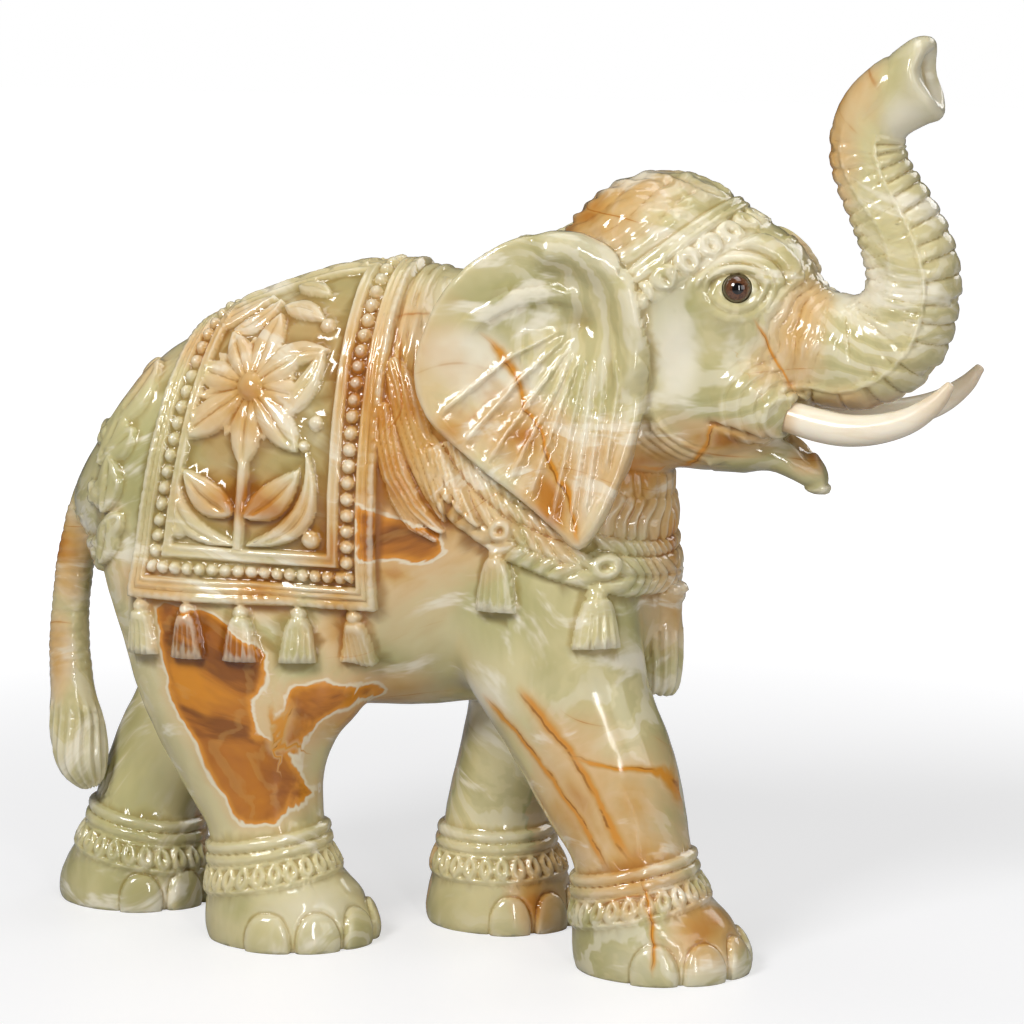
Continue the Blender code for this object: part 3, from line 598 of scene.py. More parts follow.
def leaf(s, t, root_s, root_t, angle, length, half, bend=0.0, power=0.8, rib=0.35):
    """A leaf lying at an angle in degrees, rounded across with a groove down its middle, from 0 to 1."""
    turn = math.radians(angle)
    along = (s - root_s) * math.cos(turn) + (t - root_t) * math.sin(turn)
    across = (t - root_t) * math.cos(turn) - (s - root_s) * math.sin(turn)
    share = np.clip(along / length, 0, 1)
    across = across - bend * 4 * share * (1 - share)
    width = half * np.sin(math.pi * share**power) ** 0.75 + 1e-6
    dome = round_ridge(across, width) ** 0.7
    middle = 1 + rib * groove(across, 0.09 * half + 0.7) * step(0.03, 0.2, share) * step(1, 0.8, share)
    return np.where((along > 0) & (along < length), dome * middle, 0)


def dot(s, t, centre_s, centre_t, radius):
    return round_ridge(np.hypot(s - centre_s, t - centre_t), radius)


def beads(offset, run, pitch, radius):
    """A row of round beads along run, as a height from 0 to 1."""
    return round_ridge(np.hypot(offset, (run + pitch / 2) % pitch - pitch / 2), radius)


def loops(across, run, pitch, half):
    """A row of teardrops hanging side by side, each with a slit drilled in it, from about -0.6 to 1."""
    u = ((run / pitch) % 1) * 2 - 1
    v = across / half
    drop = round_ridge(np.hypot(u * (1.02 + 0.22 * v), v * 0.96), 1.0) ** 0.55
    slit = np.exp(-((u / 0.26) ** 2) - ((v - 0.12) / 0.5) ** 2)
    return drop - 1.1 * slit


def tassel(s, t, knot_s, knot_t, drop, half):
    """A knot with a fluted, bell-shaped tassel under it, as a height from 0 to 1."""
    below = knot_t - t
    share = np.clip((below - 5) / (drop - 5), 0, 1)
    width = half * (0.42 + 0.58 * share**0.5)
    across = np.clip((s - knot_s) / width, -1, 1)
    flutes = 1 - 0.13 * (1 - wave(np.arcsin(across), math.pi / 8)) / 2 * step(0.12, 0.3, share)
    bell = np.where((below > 4) & (below < drop), round_ridge(s - knot_s, width) ** 0.6 * flutes, 0)
    knot = dot(s, t, knot_s, knot_t, half * 0.46)
    neck = np.maximum(knot, 0.7 * dot(s, t, knot_s, knot_t + half * 0.55, half * 0.3))
    return np.maximum(bell, 0.85 * neck)


def back_profile(x):
    """Height, half height and half width of the body's middle, at each x."""
    stations = np.array(TORSO, float).T
    top = np.interp(x, stations[0], stations[1])
    bottom = np.interp(x, stations[0], stations[2])
    return (top + bottom) / 2, (top - bottom) / 2, np.interp(x, stations[0], stations[3])


def cloth_place(patch):
    """Height above the hem and distance down from the spine, both measured over the body's curve."""
    middle, tall, wide = back_profile(patch.x)
    turn = np.arctan2((patch.z - middle) / tall, patch.out / wide)
    rise = np.zeros_like(turn)
    crown = np.zeros_like(turn)
    steps = 12
    for k in range(steps):
        part = (k + 0.5) / steps
        rise += np.hypot(tall * np.cos(turn * part), wide * np.sin(turn * part)) * turn / steps
        whole = math.pi / 2 * part
        crown += np.hypot(tall * math.cos(whole), wide * math.sin(whole)) * math.pi / 2 / steps
    return rise + 1.03 * (middle - HEM), crown - rise


def carve_cloth(skin):
    """The saddle cloth: bumpy rim, double line, bead row, frame, flower panel and tassels."""
    x, z = skin.points[:, 0], skin.points[:, 2]
    patch = skin.part((x > -400) & (x < -50) & (z > HEM - 80) & ~skin.on_ear)
    x, z = patch.x, patch.z
    up, down = cloth_place(patch)
    up = z - HEM + (up - z + HEM) * step(10, 130, up)
    back_edge, front_edge = (low + (high - low) * up / CLOTH_DROP for low, high in (CLOTH_BACK, CLOTH_FRONT))
    sides = np.minimum((x - back_edge) * 1.38, (front_edge - x) * 1.18)
    edge = np.minimum(sides, up)
    inner = np.minimum(edge, down + 27)
    along_hem = up <= sides
    run = np.where(along_hem, x - STEM_X, up)
    slab = 7.0 * step(-1.5, 1.0, edge)
    rim = band(0, 9.5, edge) * (1.8 + 1.4 * beads(edge - 4.7, run, 11, 6))
    lines = 2.6 * band(12, 16.5, edge) + 2.6 * band(18.5, 23, edge)
    hem_row = beads(up - BEAD_INSET, x - STEM_X, 14, 6.6)
    side_row = beads((sides - BEAD_INSET) / 1.2, up - BEAD_INSET, 17, 7.4)
    row = np.where(along_hem, hem_row, side_row)
    channel = -3.0 * band(24, 45, edge) + 9.0 * row
    frame = 3.0 * band(46, 59, inner) - 0.9 * band(50.5, 54.5, inner, 1.0)
    panel = -4.0 * step(PANEL_INSET, PANEL_INSET + 2, inner)
    patch.add(slab + rim + lines + channel + frame + panel, edge > -4)
    ornament = np.zeros_like(x)
    for angle, length, half in SEPALS:
        ornament = np.maximum(ornament, 4.0 * leaf(x, up, *FLOWER, angle, length, half, 0, 1.2))
    for number, (angle, length, half) in enumerate(PETALS):
        petal = leaf(x, up, *FLOWER, angle, length, half, 0, 1.3, 0.36)
        tallest = 10.5 if number % 2 else 8.5
        reach = np.hypot(x - FLOWER[0], up - FLOWER[1]) / length
        ornament = np.maximum(ornament, (tallest - 3.5 * np.abs(reach - 0.6)) * petal)
    ornament = np.maximum(ornament, 12.5 * dot(x, up, *FLOWER, 15.5) ** 0.7)
    for piece in PANEL_LEAVES:
        ornament = np.maximum(ornament, piece[0] * leaf(x, up, *piece[1:]))
    for s, t, radius in PANEL_BOSSES:
        ornament = np.maximum(ornament, 7.5 * dot(x, up, s, t, radius) ** 0.8)
    stem = 8.0 * round_ridge(x - STEM_X - 0.08 * (up - 60), 6.5) * band(56, 152, up)
    ornament = np.maximum(ornament, stem)
    patch.add(ornament, (inner > PANEL_INSET) & (down > 8))
    # Painted shade on the panel's ground between the ornaments and in the channel between the beads
    patch.paint_sunk_shade(np.where((inner > 60) & (down > 26), step(2.5, 0.3, ornament), 0))
    patch.paint_sunk_shade(0.8 * band(24, 45, edge) * step(0.35, 0.0, row))
    skin.cloth[patch.index] = step(-2, 2, edge)
    spine = 4.0 * leaf_chain(x, down, 34)
    patch.add(spine, (sides > 60) & (down < 26))
    hanging = np.zeros_like(x)
    for knot in CLOTH_TASSELS:
        hanging = np.maximum(hanging, 14.0 * tassel(x, z, knot, HEM - 9, 51, 19))
    patch.cover(hanging, (patch.out > 60) & (up < 2))
    gap = x - front_edge
    strap = 3.4 * round_ridge(gap - 9, 5) + 3.4 * round_ridge(gap - 21, 5)
    patch.add(strap * step(150, 190, up))


def leaf_chain(run, across, pitch):
    """Pairs of small leaves meeting along a line, as a height from 0 to 1."""
    slanted = (run + 0.9 * across) % pitch / pitch
    return np.abs(np.sin(slanted * math.pi)) ** 0.6 * round_ridge(across - 11, 15)


def fluted_leaf(x, z, line, half, rise):
    """A long leaf along a line, cut with flutes that run with it."""
    away, along, _ = to_line(x, z, line)
    length = line_length(line)
    share = np.clip(along / length, 0, 1)
    width = half * np.sin(math.pi * share**0.75) ** 0.6 + 1e-6
    flutes = 1 - 0.3 * np.exp(-((((away + half / 5) % (half / 2.5)) - half / 5) / 1.2) ** 2)
    inside = (along > 0) & (along < length)
    return np.where(inside, rise * round_ridge(away, width) ** 0.55 * flutes, 0)


def carve_garlands(skin):
    """Leaves, flowers and a bud on the rump, and long fluted leaves on the shoulder."""
    x, y, z = skin.points.T
    patch = skin.part((np.abs(y) > 16) & (z > 370) & (x < -330) & ~skin.on_ear)
    x, z = patch.x, patch.z
    height = np.zeros_like(x)
    for piece in RUMP_SPRAY:
        height = np.maximum(height, piece[0] * leaf(x, z, *piece[1:]))
    for centre_x, centre_z, radius, rise in RUMP_DOTS:
        around = np.arctan2(z - centre_z, x - centre_x)
        away = np.hypot(x - centre_x, z - centre_z)
        petals = radius * 1.15 * (0.86 + 0.14 * np.cos(5 * around))
        flower = rise * round_ridge(away, petals) ** 0.6 * (1 + 0.3 * groove(away - radius * 0.45, 1.6))
        height = np.maximum(height, flower)
    patch.cover(height)
    x, y, z = skin.points.T
    patch = skin.part((x > -112) & (x < 60) & (z > 420) & (np.abs(y) > 30) & ~skin.on_ear)
    x, z = patch.x, patch.z
    height = 2.2 * (0.5 + 0.5 * wave(x + 0.25 * z + 6 * np.sin(z / 21), 17)) * step(560, 600, z)
    for line, half, rise in SHOULDER_SPRAY:
        height = np.maximum(height, fluted_leaf(x, z, line, half, rise))
    patch.cover(height)


def collar_place(patch):
    """Height above the collar's middle line, and distance along it."""
    line = np.array(COLLAR_LINE, float)
    level = np.interp(patch.x, line[:, 0], line[:, 1])
    slope = np.interp(patch.x, (line[1:, 0] + line[:-1, 0]) / 2, np.diff(line[:, 1]) / np.diff(line[:, 0]))
    lengths = np.concatenate([[0], np.cumsum(np.hypot(*np.diff(line, axis=0).T))])
    run = np.interp(patch.x, line[:, 0], lengths) + step(120, 168, patch.x) * (75 - patch.out) * 0.95
    return (patch.z - level) / np.sqrt(1 + slope**2), run


def carve_collar(skin):
    """The collar: a leafy strand, a twisted rope and a ruffle above it, its rings, tassels and chest drop."""
    x, _, z = skin.points.T
    patch = skin.part((x > -66) & (z < 620) & (z > 262) & ~skin.on_ear)
    above, run = collar_place(patch)
    tufts = 0.62 + 0.38 * np.abs(wave(run + 1.1 * np.abs(above + 6) + 5 * np.sin(run / 19), 38)) ** 0.6
    strand = 11.5 * round_ridge(above + 6, 19) ** 0.45 * tufts + 2.0 * groove(above + 6, 1.8)
    rope = 8.5 * round_ridge(above - 21, 8) ** 0.8 * (0.80 + 0.20 * wave(run + 0.9 * above, 13))
    frill = 0.66 + 0.34 * wave(run - 0.5 * above + 6 * np.sin(run / 17) + 3 * np.sin(above / 6), 19)
    ruffle = 7.5 * round_ridge(above - 50, 21) ** 0.5 * frill
    second = 5.5 * round_ridge(above - 82, 13) ** 0.6 * (0.7 + 0.3 * wave(run + 8 * np.sin(run / 11), 25))
    forms = np.maximum(np.maximum(strand, rope), np.maximum(ruffle, second))
    patch.add(forms * step(-64, -26, patch.x), patch.z < 560 + 0.4 * np.clip(patch.x, -60, 0))
    hanging = np.zeros_like(patch.x)
    for centre, knot, drop, half, ring in COLLAR_TASSELS:
        hanging = np.maximum(hanging, 14.0 * tassel(patch.x, patch.z, centre, knot, drop, half))
        away = np.hypot(patch.x - centre - 4, patch.z - knot - ring)
        boss = 18.0 * round_ridge(away, 14) ** 0.5 + 9.0 * groove(away, 5.0)
        hanging = np.maximum(hanging, np.where(away < 14, boss, 0))
    patch.cover(hanging, patch.out > 45)
    front = (patch.x > 128) & (patch.normals[:, 0] > -0.2)
    ring = 3 * round_ridge(patch.out, 18) * band(374, 400, patch.z, 4)
    drop = np.maximum(4 * dot(patch.out, patch.z, 0, 420, 17), ring)
    patch.cover(drop, front & (patch.z > 355))
    flutes = 1.3 * wave(np.arctan2(patch.y, patch.x - 150), 0.34)
    patch.add(flutes, front & (patch.z < 344) & (patch.z > 268) & (patch.out < 26) & (patch.x > 150))


def carve_anklets(skin):
    """Two thick rings, a thin one, a row of drilled loops and a fine bottom ring round each leg."""
    x, y, z = skin.points.T
    for centre_x, centre_y, centre_z, tilt in ANKLETS:
        patch = skin.part((np.hypot(x - centre_x, y - centre_y) < 96) & (z < 150) & (z > 20))
        turn = math.radians(tilt)
        above = (patch.x - centre_x) * math.sin(turn) + (patch.z - centre_z) * math.cos(turn)
        around = np.arctan2(patch.y - centre_y, patch.x - centre_x)
        run = around / (2 * math.pi) * ANKLET_LOOPS * ANKLET_PITCH
        rings = 5.0 * round_ridge(above - 20, 6.2) ** 0.8 * (0.94 + 0.06 * wave(run, 27))
        rings += 5.0 * round_ridge(above - 7.5, 6.0) ** 0.8 * (0.94 + 0.06 * wave(run + 9, 23))
        rings += 2.2 * round_ridge(above + 0.5, 2.2) + 2.6 * round_ridge(above + 26.5, 3.0)
        row = 5.2 * loops(above + 13, run, ANKLET_PITCH, 11) * band(-25, -2, above, 0.8)
        patch.add(rings + row + 1.6 * band(-27, 26, above))
        # Painted shade in the drilled slits of the loops
        patch.paint_sunk_shade(step(0.5, -1.5, row) * band(-24, -3, above))


def carve_toes(skin):
    """Five smooth nails on each foot, each cut round with a groove, under soft knuckles."""
    x, y, z = skin.points.T
    for centre_x, centre_y, heading, long, wide in FEET:
        patch = skin.part((np.hypot(x - centre_x, y - centre_y) < 124) & (z < 72))
        around = np.arctan2((patch.y - centre_y) / wide, (patch.x - centre_x) / long)
        for spread in TOE_SPREAD:
            turn = np.angle(np.exp(1j * (around - math.radians(heading + spread))))
            away = (np.abs(turn * 88 / 24.5) ** 2.5 + np.abs((patch.z - 4) / 36) ** 2.5) ** 0.4
            nail = 7.0 * round_ridge(away, 1.0) ** 0.6
            cut = 1.8 * groove(away - 1.05, 0.06)
            knuckle = 2.0 * np.exp(-((turn * 88 / 26) ** 2) - ((patch.z - 53) / 12) ** 2)
            near = np.abs(turn) < 0.5
            patch.cover(nail, near & (away < 1))
            patch.add(cut + knuckle * (away > 1), near)


def carve_ears(skin):
    """The rolled front fold, the ledge and pit behind it, and the sharp folds that fan out below."""
    patch = skin.part(skin.on_ear)
    x, z = patch.x, patch.z
    outer = patch.out > ear_depth(x, z) - 2
    away, along, _ = to_line(x, z, EAR_FOLD)
    half = np.interp(along, [0, 45, 90, 125, 160, 230], [22, 30, 34, 34, 30, 16])
    fold = 14.0 * (0.5 + 0.5 * np.cos(math.pi * np.clip(away / half, 0, 1)))
    fold *= step(0, 20, along) * step(232, 190, along)
    away, along, _ = to_line(x, z, EAR_LEDGE)
    ledge = 3.6 * round_ridge(away, 9) * step(0, 12, patch.ear_edge)
    ledge *= step(0, 20, along) * step(150, 90, along)
    from_pit = np.hypot(x - 106, (z - 672) * 1.1)
    pit = 8.0 * groove(from_pit, 15) + 5.0 * groove(from_pit, 44)
    ribs = np.zeros_like(x)
    for rib in EAR_FAN:
        away, along, _ = to_line(x, z, rib)
        share = along / line_length(rib)
        height = 3.2 * round_ridge(away, 1.7 + 2.0 * share) * step(0, 0.3, share) * step(1.0, 0.9, share)
        ribs = np.maximum(ribs, height)
    # Painted shade in the ear's pit
    patch.paint_sunk_shade(0.7 * np.exp(-((from_pit / 16) ** 2)) * outer)
    rim = 1.6 * round_ridge(patch.ear_edge - 5, 6) * step(650, 560, z)
    patch.add(np.maximum(fold, ledge) + pit + ribs + rim, outer)
    inner = patch.out < ear_depth(x, z) - 6
    from_root = np.hypot(x - EAR_PIT[0], z - EAR_PIT[1])
    patch.add(1.8 * wave(np.arctan2(z - EAR_PIT[1], x - EAR_PIT[0]), 0.32) * step(20, 60, from_root), inner)


def ahead_of_strap(x, z):
    """How far in front of the cap's strap a place lies."""
    return (x - CAP_POINT[0]) * CAP_FACING[0] + (z - CAP_POINT[2]) * CAP_FACING[2]


def carve_cap(skin):
    """The cap: rough folds behind a double strap, and a row of drilled loops with a boss at its end."""
    x, _, z = skin.points.T
    patch = skin.part((x > 30) & (x < 300) & (z > 680) & ~skin.on_ear)
    ahead = ahead_of_strap(patch.x, patch.z)
    down = (patch.x - CAP_POINT[0]) * CAP_FACING[2] - (patch.z - CAP_POINT[2]) * CAP_FACING[0]
    run = np.hypot(patch.out, np.clip(down, 0, None))
    strap = 4.5 * round_ridge(ahead - 3, 4.6) + 4.5 * round_ridge(ahead - 11.5, 4.6)
    row = 5.0 * loops(ahead - 28, run + 12, 24, 12.5) * band(16, 40, ahead, 0.8) + 1.5 * band(-2, 42, ahead)
    boss = 6.0 * dot(run, ahead, 150, 30, 11)
    folds = 3.6 * np.abs(wave(ahead + 9 * np.sin(run / 26) + 0.16 * run, 46)) ** 0.6 * step(14, 44, patch.out)
    folds += 1.8 * wave(ahead * 0.5 + run + 6 * np.sin(ahead / 13), 19) * step(48, 20, patch.out)
    folds += 1.1 * np.abs(wave(ahead + 0.3 * run + 7 * np.sin(run / 12), 23)) ** 0.7
    folds += 0.5 * wave(run - 0.4 * ahead, 21)
    rough = (folds - 1.0) * step(-4, -12, ahead) * step(-110, -80, ahead) + 2.0 * step(-2, -6, ahead)
    patch.add(strap + np.where(run < 140, row, np.maximum(boss, 0)) * (run < 165) + rough)
    # Painted shade in the drilled slits of the cap's loops
    patch.paint_sunk_shade(step(0.8, -1.5, row) * band(18, 38, ahead) * (run < 140))


def carve_face(skin):
    """Eye lids, brows, the folds round the tusks, the jaw, the mouth line and the hollow lip."""
    x, _, z = skin.points.T
    patch = skin.part((x > 130) & (x < 345) & (z > 486) & (z < 790) & ~skin.on_ear)
    x, z, out = patch.x, patch.z, patch.out
    lid_x, lid_z = x - EYE_PLACE[0], z - EYE_PLACE[1]
    lids = np.zeros_like(x)
    for back, front, tall, rise, wide in LID_ARCS:
        reach = np.where(lid_x < 0, back, front)
        beyond = (np.hypot(lid_x / reach, lid_z / tall) - 1) * tall
        roll = rise * round_ridge(beyond - wide / 2, wide / 2) ** 0.8 * (beyond < wide)
        fade = step(-12, 4, lid_z - 0.16 * np.abs(lid_x))
        lids += (roll + 1.8 * groove(beyond + 1, 1.8)) * fade
        # Painted shade along the dark line under each fold
        patch.paint_sunk_shade(0.6 * np.exp(-((beyond / 1.8) ** 2)) * fade * (out > 30) * (z > 640))
    below = np.hypot(lid_x * 0.86, lid_z)
    clear_of_cap = step(40, 50, ahead_of_strap(x, z))
    lids += (2.4 * round_ridge(below - 20, 4.5) + 1.4 * round_ridge(below - 31, 5)) * step(3, -9, lid_z)
    patch.add(lids * clear_of_cap, (out > 30) & (z > 640) & (np.hypot(lid_x, lid_z) < 105))
    away = np.hypot(x - 313, (z - 580) * 0.92)
    share = ((away + 2.5 * np.sin(z / 11)) / 15) % 1
    rings = (1 - share) ** 0.7 * step(0, 0.16, share)
    folds = 2.8 * rings * band(20, 74, away, 8) * step(312, 296, x) * step(660, 622, z) * step(538, 556, z)
    patch.add(folds, out > 22)
    jaw_away = np.hypot(x - JAW_MIDDLE[0], z - JAW_MIDDLE[1])
    jaw = 2.4 * np.abs(wave(jaw_away, 18)) ** 0.7 * band(74, 116, jaw_away, 5)
    jaw *= step(246, 214, x) * step(590, 560, z) * step(518, 540, z)
    patch.add(jaw, out > 18)
    lean = x - 0.45 * z + 4 * np.sin(z / 15) + 2 * np.sin(z / 6.3 + x / 9)
    root = 2.6 * (np.abs(wave(lean, 22)) ** 0.5 - 0.4)
    root *= step(268, 292, x) * step(626, 648, z) * step(738, 716, z)
    patch.add(root, out > 8)
    mouth, _, _ = to_line(x, z, MOUTH_LINE)
    patch.add(4.0 * groove(mouth, 3.0), (out > 24) & (x < 318))
    lip = (x > 268) & (patch.normals[:, 2] > 0.05) & (z > 528) & (z < 570)
    patch.add(-8.5 * round_ridge(patch.y, 18) * step(286, 302, x) * step(338, 322, x), lip)
    lean_back = step(300, 340, x) * step(506, 556, z) * step(575, 562, z)
    throat = 606 - 94 * np.sqrt(np.clip(0.99 - (out / 86) ** 2, 0, 1))
    chin = 536 - 24 * np.sqrt(np.clip(1 - (out / 46) ** 2, 0, 1))
    blended = throat + (chin - throat) * step(222, 268, x)
    sag = np.clip(blended - z, 0, 9) * (patch.normals[:, 2] < 0.1) * band(220, 266, x, 1.5) * (out < 46)
    tip = 2.4 * np.exp(-(((x - 338) / 13) ** 2) - ((z - 492) / 13) ** 2)
    skin.shift[patch.index, 0] += 0.5 * tip - 12.0 * lean_back
    skin.shift[patch.index, 2] += sag + tip - 10.0 * lean_back
    whorl = np.hypot(x - TUSK_WHORL[0], z - TUSK_WHORL[1])
    patch.add(2.4 * round_ridge(whorl - 21, 4), (out > 34) & (z < 612) & (x > 285) & (whorl < 30))


def carve_trunk(skin):
    """Fanning wrinkles over the trunk, overlapping plates down its outer edge and its open tip."""
    x, y, z = skin.points.T
    patch = skin.part((x > 285) & (z > 565) & (np.abs(y) < 66) & ~skin.on_ear)
    line = [(row[0], row[1]) for row in eased([row[:2] for row in TRUNK], 4)]
    away, along, side = to_line(patch.x, patch.z, line)
    offset = -side * away / np.interp(along, [0, 150, 300, 420], [58, 48, 38, 38])
    ridge = np.interp(along, [0, 60, 130, 300, 420], [0.75, 0.62, 0.42, 0.4, 0.5])
    outer = offset > ridge
    reach = step(6, 30, along) * step(372, 330, along)
    wobble = along + 2.2 * np.sin(along / 17) + 1.5 * patch.y / 20
    pitch = np.interp(along, [0, 60, 140, 200, 400], [21, 20, 18, 13, 13])
    crease = np.abs(np.cos(wobble / pitch * math.pi))
    broken = 0.62 + 0.38 * np.sin(offset * 4.3 + along / 11 + 1.7 * np.sin(along / 23)) * np.sign(patch.y)
    wrinkle = 3.6 * (crease**0.4 - 0.75) * broken * np.interp(along, [0, 170, 210, 420], [1.0, 1.0, 0.8, 0.7])
    wrinkle += 1.1 * (np.abs(np.cos((wobble * 1.7 + 9 * offset) / pitch * math.pi)) ** 0.5 - 0.6)
    plate_share = (along / 16.5 + 0.1 * np.abs(patch.y) / 20) % 1
    plates = 5.6 * np.sin(math.pi * plate_share**0.65) ** 0.45 - 3.0
    notch_share = (along / 13.5) % 1
    notches = (3.6 * np.sin(math.pi * notch_share**1.5) ** 0.4 - 1.8) * step(175, 200, along)
    edge_line = 2.8 * round_ridge(offset - ridge, 0.06)
    spine_line = 1.8 * round_ridge(offset + 0.35 - 0.12 * np.sin(along / 31), 0.07) * step(190, 230, along)
    side_skin = np.where(offset < -0.72, notches + wrinkle * step(200, 175, along), wrinkle + spine_line)
    surface = np.where(outer, plates * step(ridge, ridge + 0.1, offset), side_skin) + edge_line
    patch.add(surface * reach, patch.x > 296)
    tip = np.hypot((patch.z - TRUNK_TIP[1]) / 29, patch.y / 24)
    open_end = (patch.x > 420) & (patch.normals[:, 0] > 0.2) & (patch.z > 866)
    patch.add(-13.0 * step(1.0, 0.5, tip), open_end)
    for centre, radius, flat, pull in TIP_LOBES:
        across = (patch.y * flat) ** 2
        away = np.sqrt((patch.x - centre[0]) ** 2 + across + (patch.z - centre[1]) ** 2)
        drawn = np.exp(-((away / radius) ** 2))[:, None]
        skin.shift[patch.index] += drawn * np.array([pull[0], 0.0, pull[1]])
    rim = step(2, 16, -patch.y) * np.exp(-(((patch.z - 928) / 26) ** 2)) * step(418, 442, patch.x)
    skin.shift[patch.index, 0] -= 6.0 * rim
    fold, _, _ = to_line(patch.x, patch.z, [(394, 948), (402, 932), (404, 914), (398, 896), (380, 878)])
    patch.add(1.5 * groove(fold, 4.0), (patch.z > 860) & (patch.x > 370))


def carve_tail(skin):
    """Lengthwise hair lines on the tuft, under two fine rings."""
    x, y, z = skin.points.T
    patch = skin.part((x < -462) & (z < 440) & (z > 118) & (y < 12))
    line = [(row[0], row[2]) for row in TAIL]
    away, along, side = to_line(patch.x, patch.z, line)
    around = np.arctan2(side * away, -(patch.y + 8))
    hair = 1.5 * wave(around + 0.25 * np.sin(along / 24), 0.42) * step(232, 212, patch.z)
    rings = 1.2 * np.abs(wave(patch.z, 22)) ** 0.5 * step(232, 262, patch.z)
    patch.add(hair + rings, away < 36)


def carve_handwork(skin):
    """The slight unevenness that a hand-carved and polished surface keeps."""
    x, y, z = skin.points.T
    slow = np.sin(x / 23 + 1.3 * np.sin(z / 31)) * np.sin(z / 19 + np.sin(y / 17))
    quick = np.sin(x / 9.1 + z / 13) * np.sin(z / 7.7 - x / 15 + y / 8)
    skin.lift += 0.55 * slow + 0.22 * quick


CARVING_WORK = (
    carve_cloth, carve_garlands, carve_collar, carve_anklets, carve_toes, carve_ears, carve_cap,
    carve_face, carve_trunk, carve_tail, carve_handwork,
)


def carved(mesh):
    skin = Skin(mesh)
    for work in CARVING_WORK:
        work(skin)
    skin.carve()
    return skin


def neighbour_mean(mesh, points, rounds):
    """The points after each has moved to the mean of its neighbours, over a number of rounds."""
    edges = np.empty(len(mesh.edges) * 2, np.int32)
    mesh.edges.foreach_get("vertices", edges)
    first, second = edges.reshape(-1, 2).T
    count = len(points)
    shared = np.bincount(first, minlength=count) + np.bincount(second, minlength=count)
    for _ in range(rounds):
        moved = [
            np.bincount(first, points[second, k], count) + np.bincount(second, points[first, k], count)
            for k in range(3)
        ]
        points = np.stack(moved, 1) / np.maximum(shared, 1)[:, None]
    return points


def thinned(mesh, triangles):
    """The carving with only the facets its shape needs."""
    obj = linked("fine_carving", mesh)
    ratio = triangles / (2 * len(mesh.polygons))
    modify(obj, "DECIMATE", ratio=ratio, use_collapse_triangulate=True)
    return applied(obj)


def soled(mesh):
    """The carving with its soles ground flat on the floor."""
    forms = bmesh.new()
    forms.from_mesh(mesh)
    geometry = forms.verts[:] + forms.edges[:] + forms.faces[:]
    floor = {"plane_co": (0, 0, 0), "plane_no": (0, 0, 1)}
    cut = bmesh.ops.bisect_plane(forms, geom=geometry, clear_inner=True, **floor)
    rim = [item for item in cut["geom_cut"] if isinstance(item, bmesh.types.BMEdge)]
    bmesh.ops.holes_fill(forms, edges=rim, sides=0)
    bmesh.ops.triangulate(forms, faces=[face for face in forms.faces if len(face.verts) > 4])
    forms.to_mesh(mesh)
    forms.free()
    return mesh


def drilled(mesh, cutters):
    """The carving with its tusk and eye sockets drilled."""
    obj, bit = linked("drilled", mesh), linked("bit", cutters)
    modify(obj, "BOOLEAN", operation="DIFFERENCE", solver="EXACT", object=bit)
    made = applied(obj)
    bpy.data.objects.remove(bit)
    return made


def tusk_forms(forms, side, grown, reach):
    """Adds a tusk, or the socket it sits in when grown, from its seat in the stone to its tip."""
    rows = eased(TUSK)
    onward = rows[0, :3] - rows[1, :3]
    onward /= np.linalg.norm(onward)
    seat = rows[0, :3] + onward * (TUSK_SEAT_DEPTH + grown) / UNIT
    centres = np.vstack([seat, rows[:, :3]])
    sizes = np.concatenate([[0.96], rows[:, 3]]) * TUSK_ROOT_RADIUS / UNIT + grown / UNIT
    along = np.gradient(centres, axis=0)
    along /= np.linalg.norm(along, axis=1)[:, None]
    if reach:
        keep = centres[:, 0] < reach
        centres, sizes, along = centres[keep], sizes[keep], along[keep]
    else:
        turns = np.linspace(0, math.pi / 2, 7)[1:-1]
        end, size, way = centres[-1], sizes[-1], along[-1]
        centres = np.vstack([centres, end + np.outer(np.sin(turns), way) * size * 0.6])
        sizes = np.concatenate([sizes, size * np.cos(turns)])
        along = np.vstack([along, np.tile(way, (len(turns), 1))])
    turn = np.linspace(0, 2 * math.pi, TUSK_SIDES, endpoint=False)
    rings = []
    for centre, size, way in zip(centres, sizes, along):
        first = np.cross(way, [0, 1, 0])
        first /= np.linalg.norm(first)
        second = np.cross(way, first)
        ring = centre + (np.outer(np.cos(turn), first) + np.outer(np.sin(turn), second)) * size
        rings.append([forms.verts.new(at(p[0], side * p[1], p[2])) for p in ring])
    made = []
    for low, high in zip(rings, rings[1:]):
        for i in range(TUSK_SIDES):
            j = (i + 1) % TUSK_SIDES
            made.append(forms.faces.new((low[i], low[j], high[j], high[i])))
    made.append(forms.faces.new(rings[0][::-1]))
    made.append(forms.faces.new(rings[-1]))
    bmesh.ops.recalc_face_normals(forms, faces=made)


def ball_forms(forms, centre, radius, rows):
    """Adds a ball whose poles lie on the line of its gaze."""
    made = bmesh.ops.create_uvsphere(forms, u_segments=rows * 2, v_segments=rows, radius=radius)["verts"]
    gaze = eye_gaze(1 if centre[1] > 0 else -1)
    turn = Vector((0, 0, 1)).rotation_difference(gaze)
    for vert in made:
        vert.co = turn @ vert.co + Vector(centre)


def eye_gaze(side):
    return Vector((0.30, side * 0.94, 0.12)).normalized()


def eye_place(name):
    """The glass eye's centre and radius, from its seat in the frame."""
    low, high = (Vector(corner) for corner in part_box(name))
    return (low + high) / 2, (high.y - low.y) / 2


def made_piece(name, mesh, stands_for, finish):
    obj = linked(name, mesh)
    mesh.materials.append(finish)
    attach(obj, "root")
    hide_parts(stands_for)
    return obj


def add_field(mesh, name, values):
    layer = mesh.attributes.new(name, "FLOAT", "POINT")
    layer.data.foreach_set("value", np.asarray(values, np.float32))


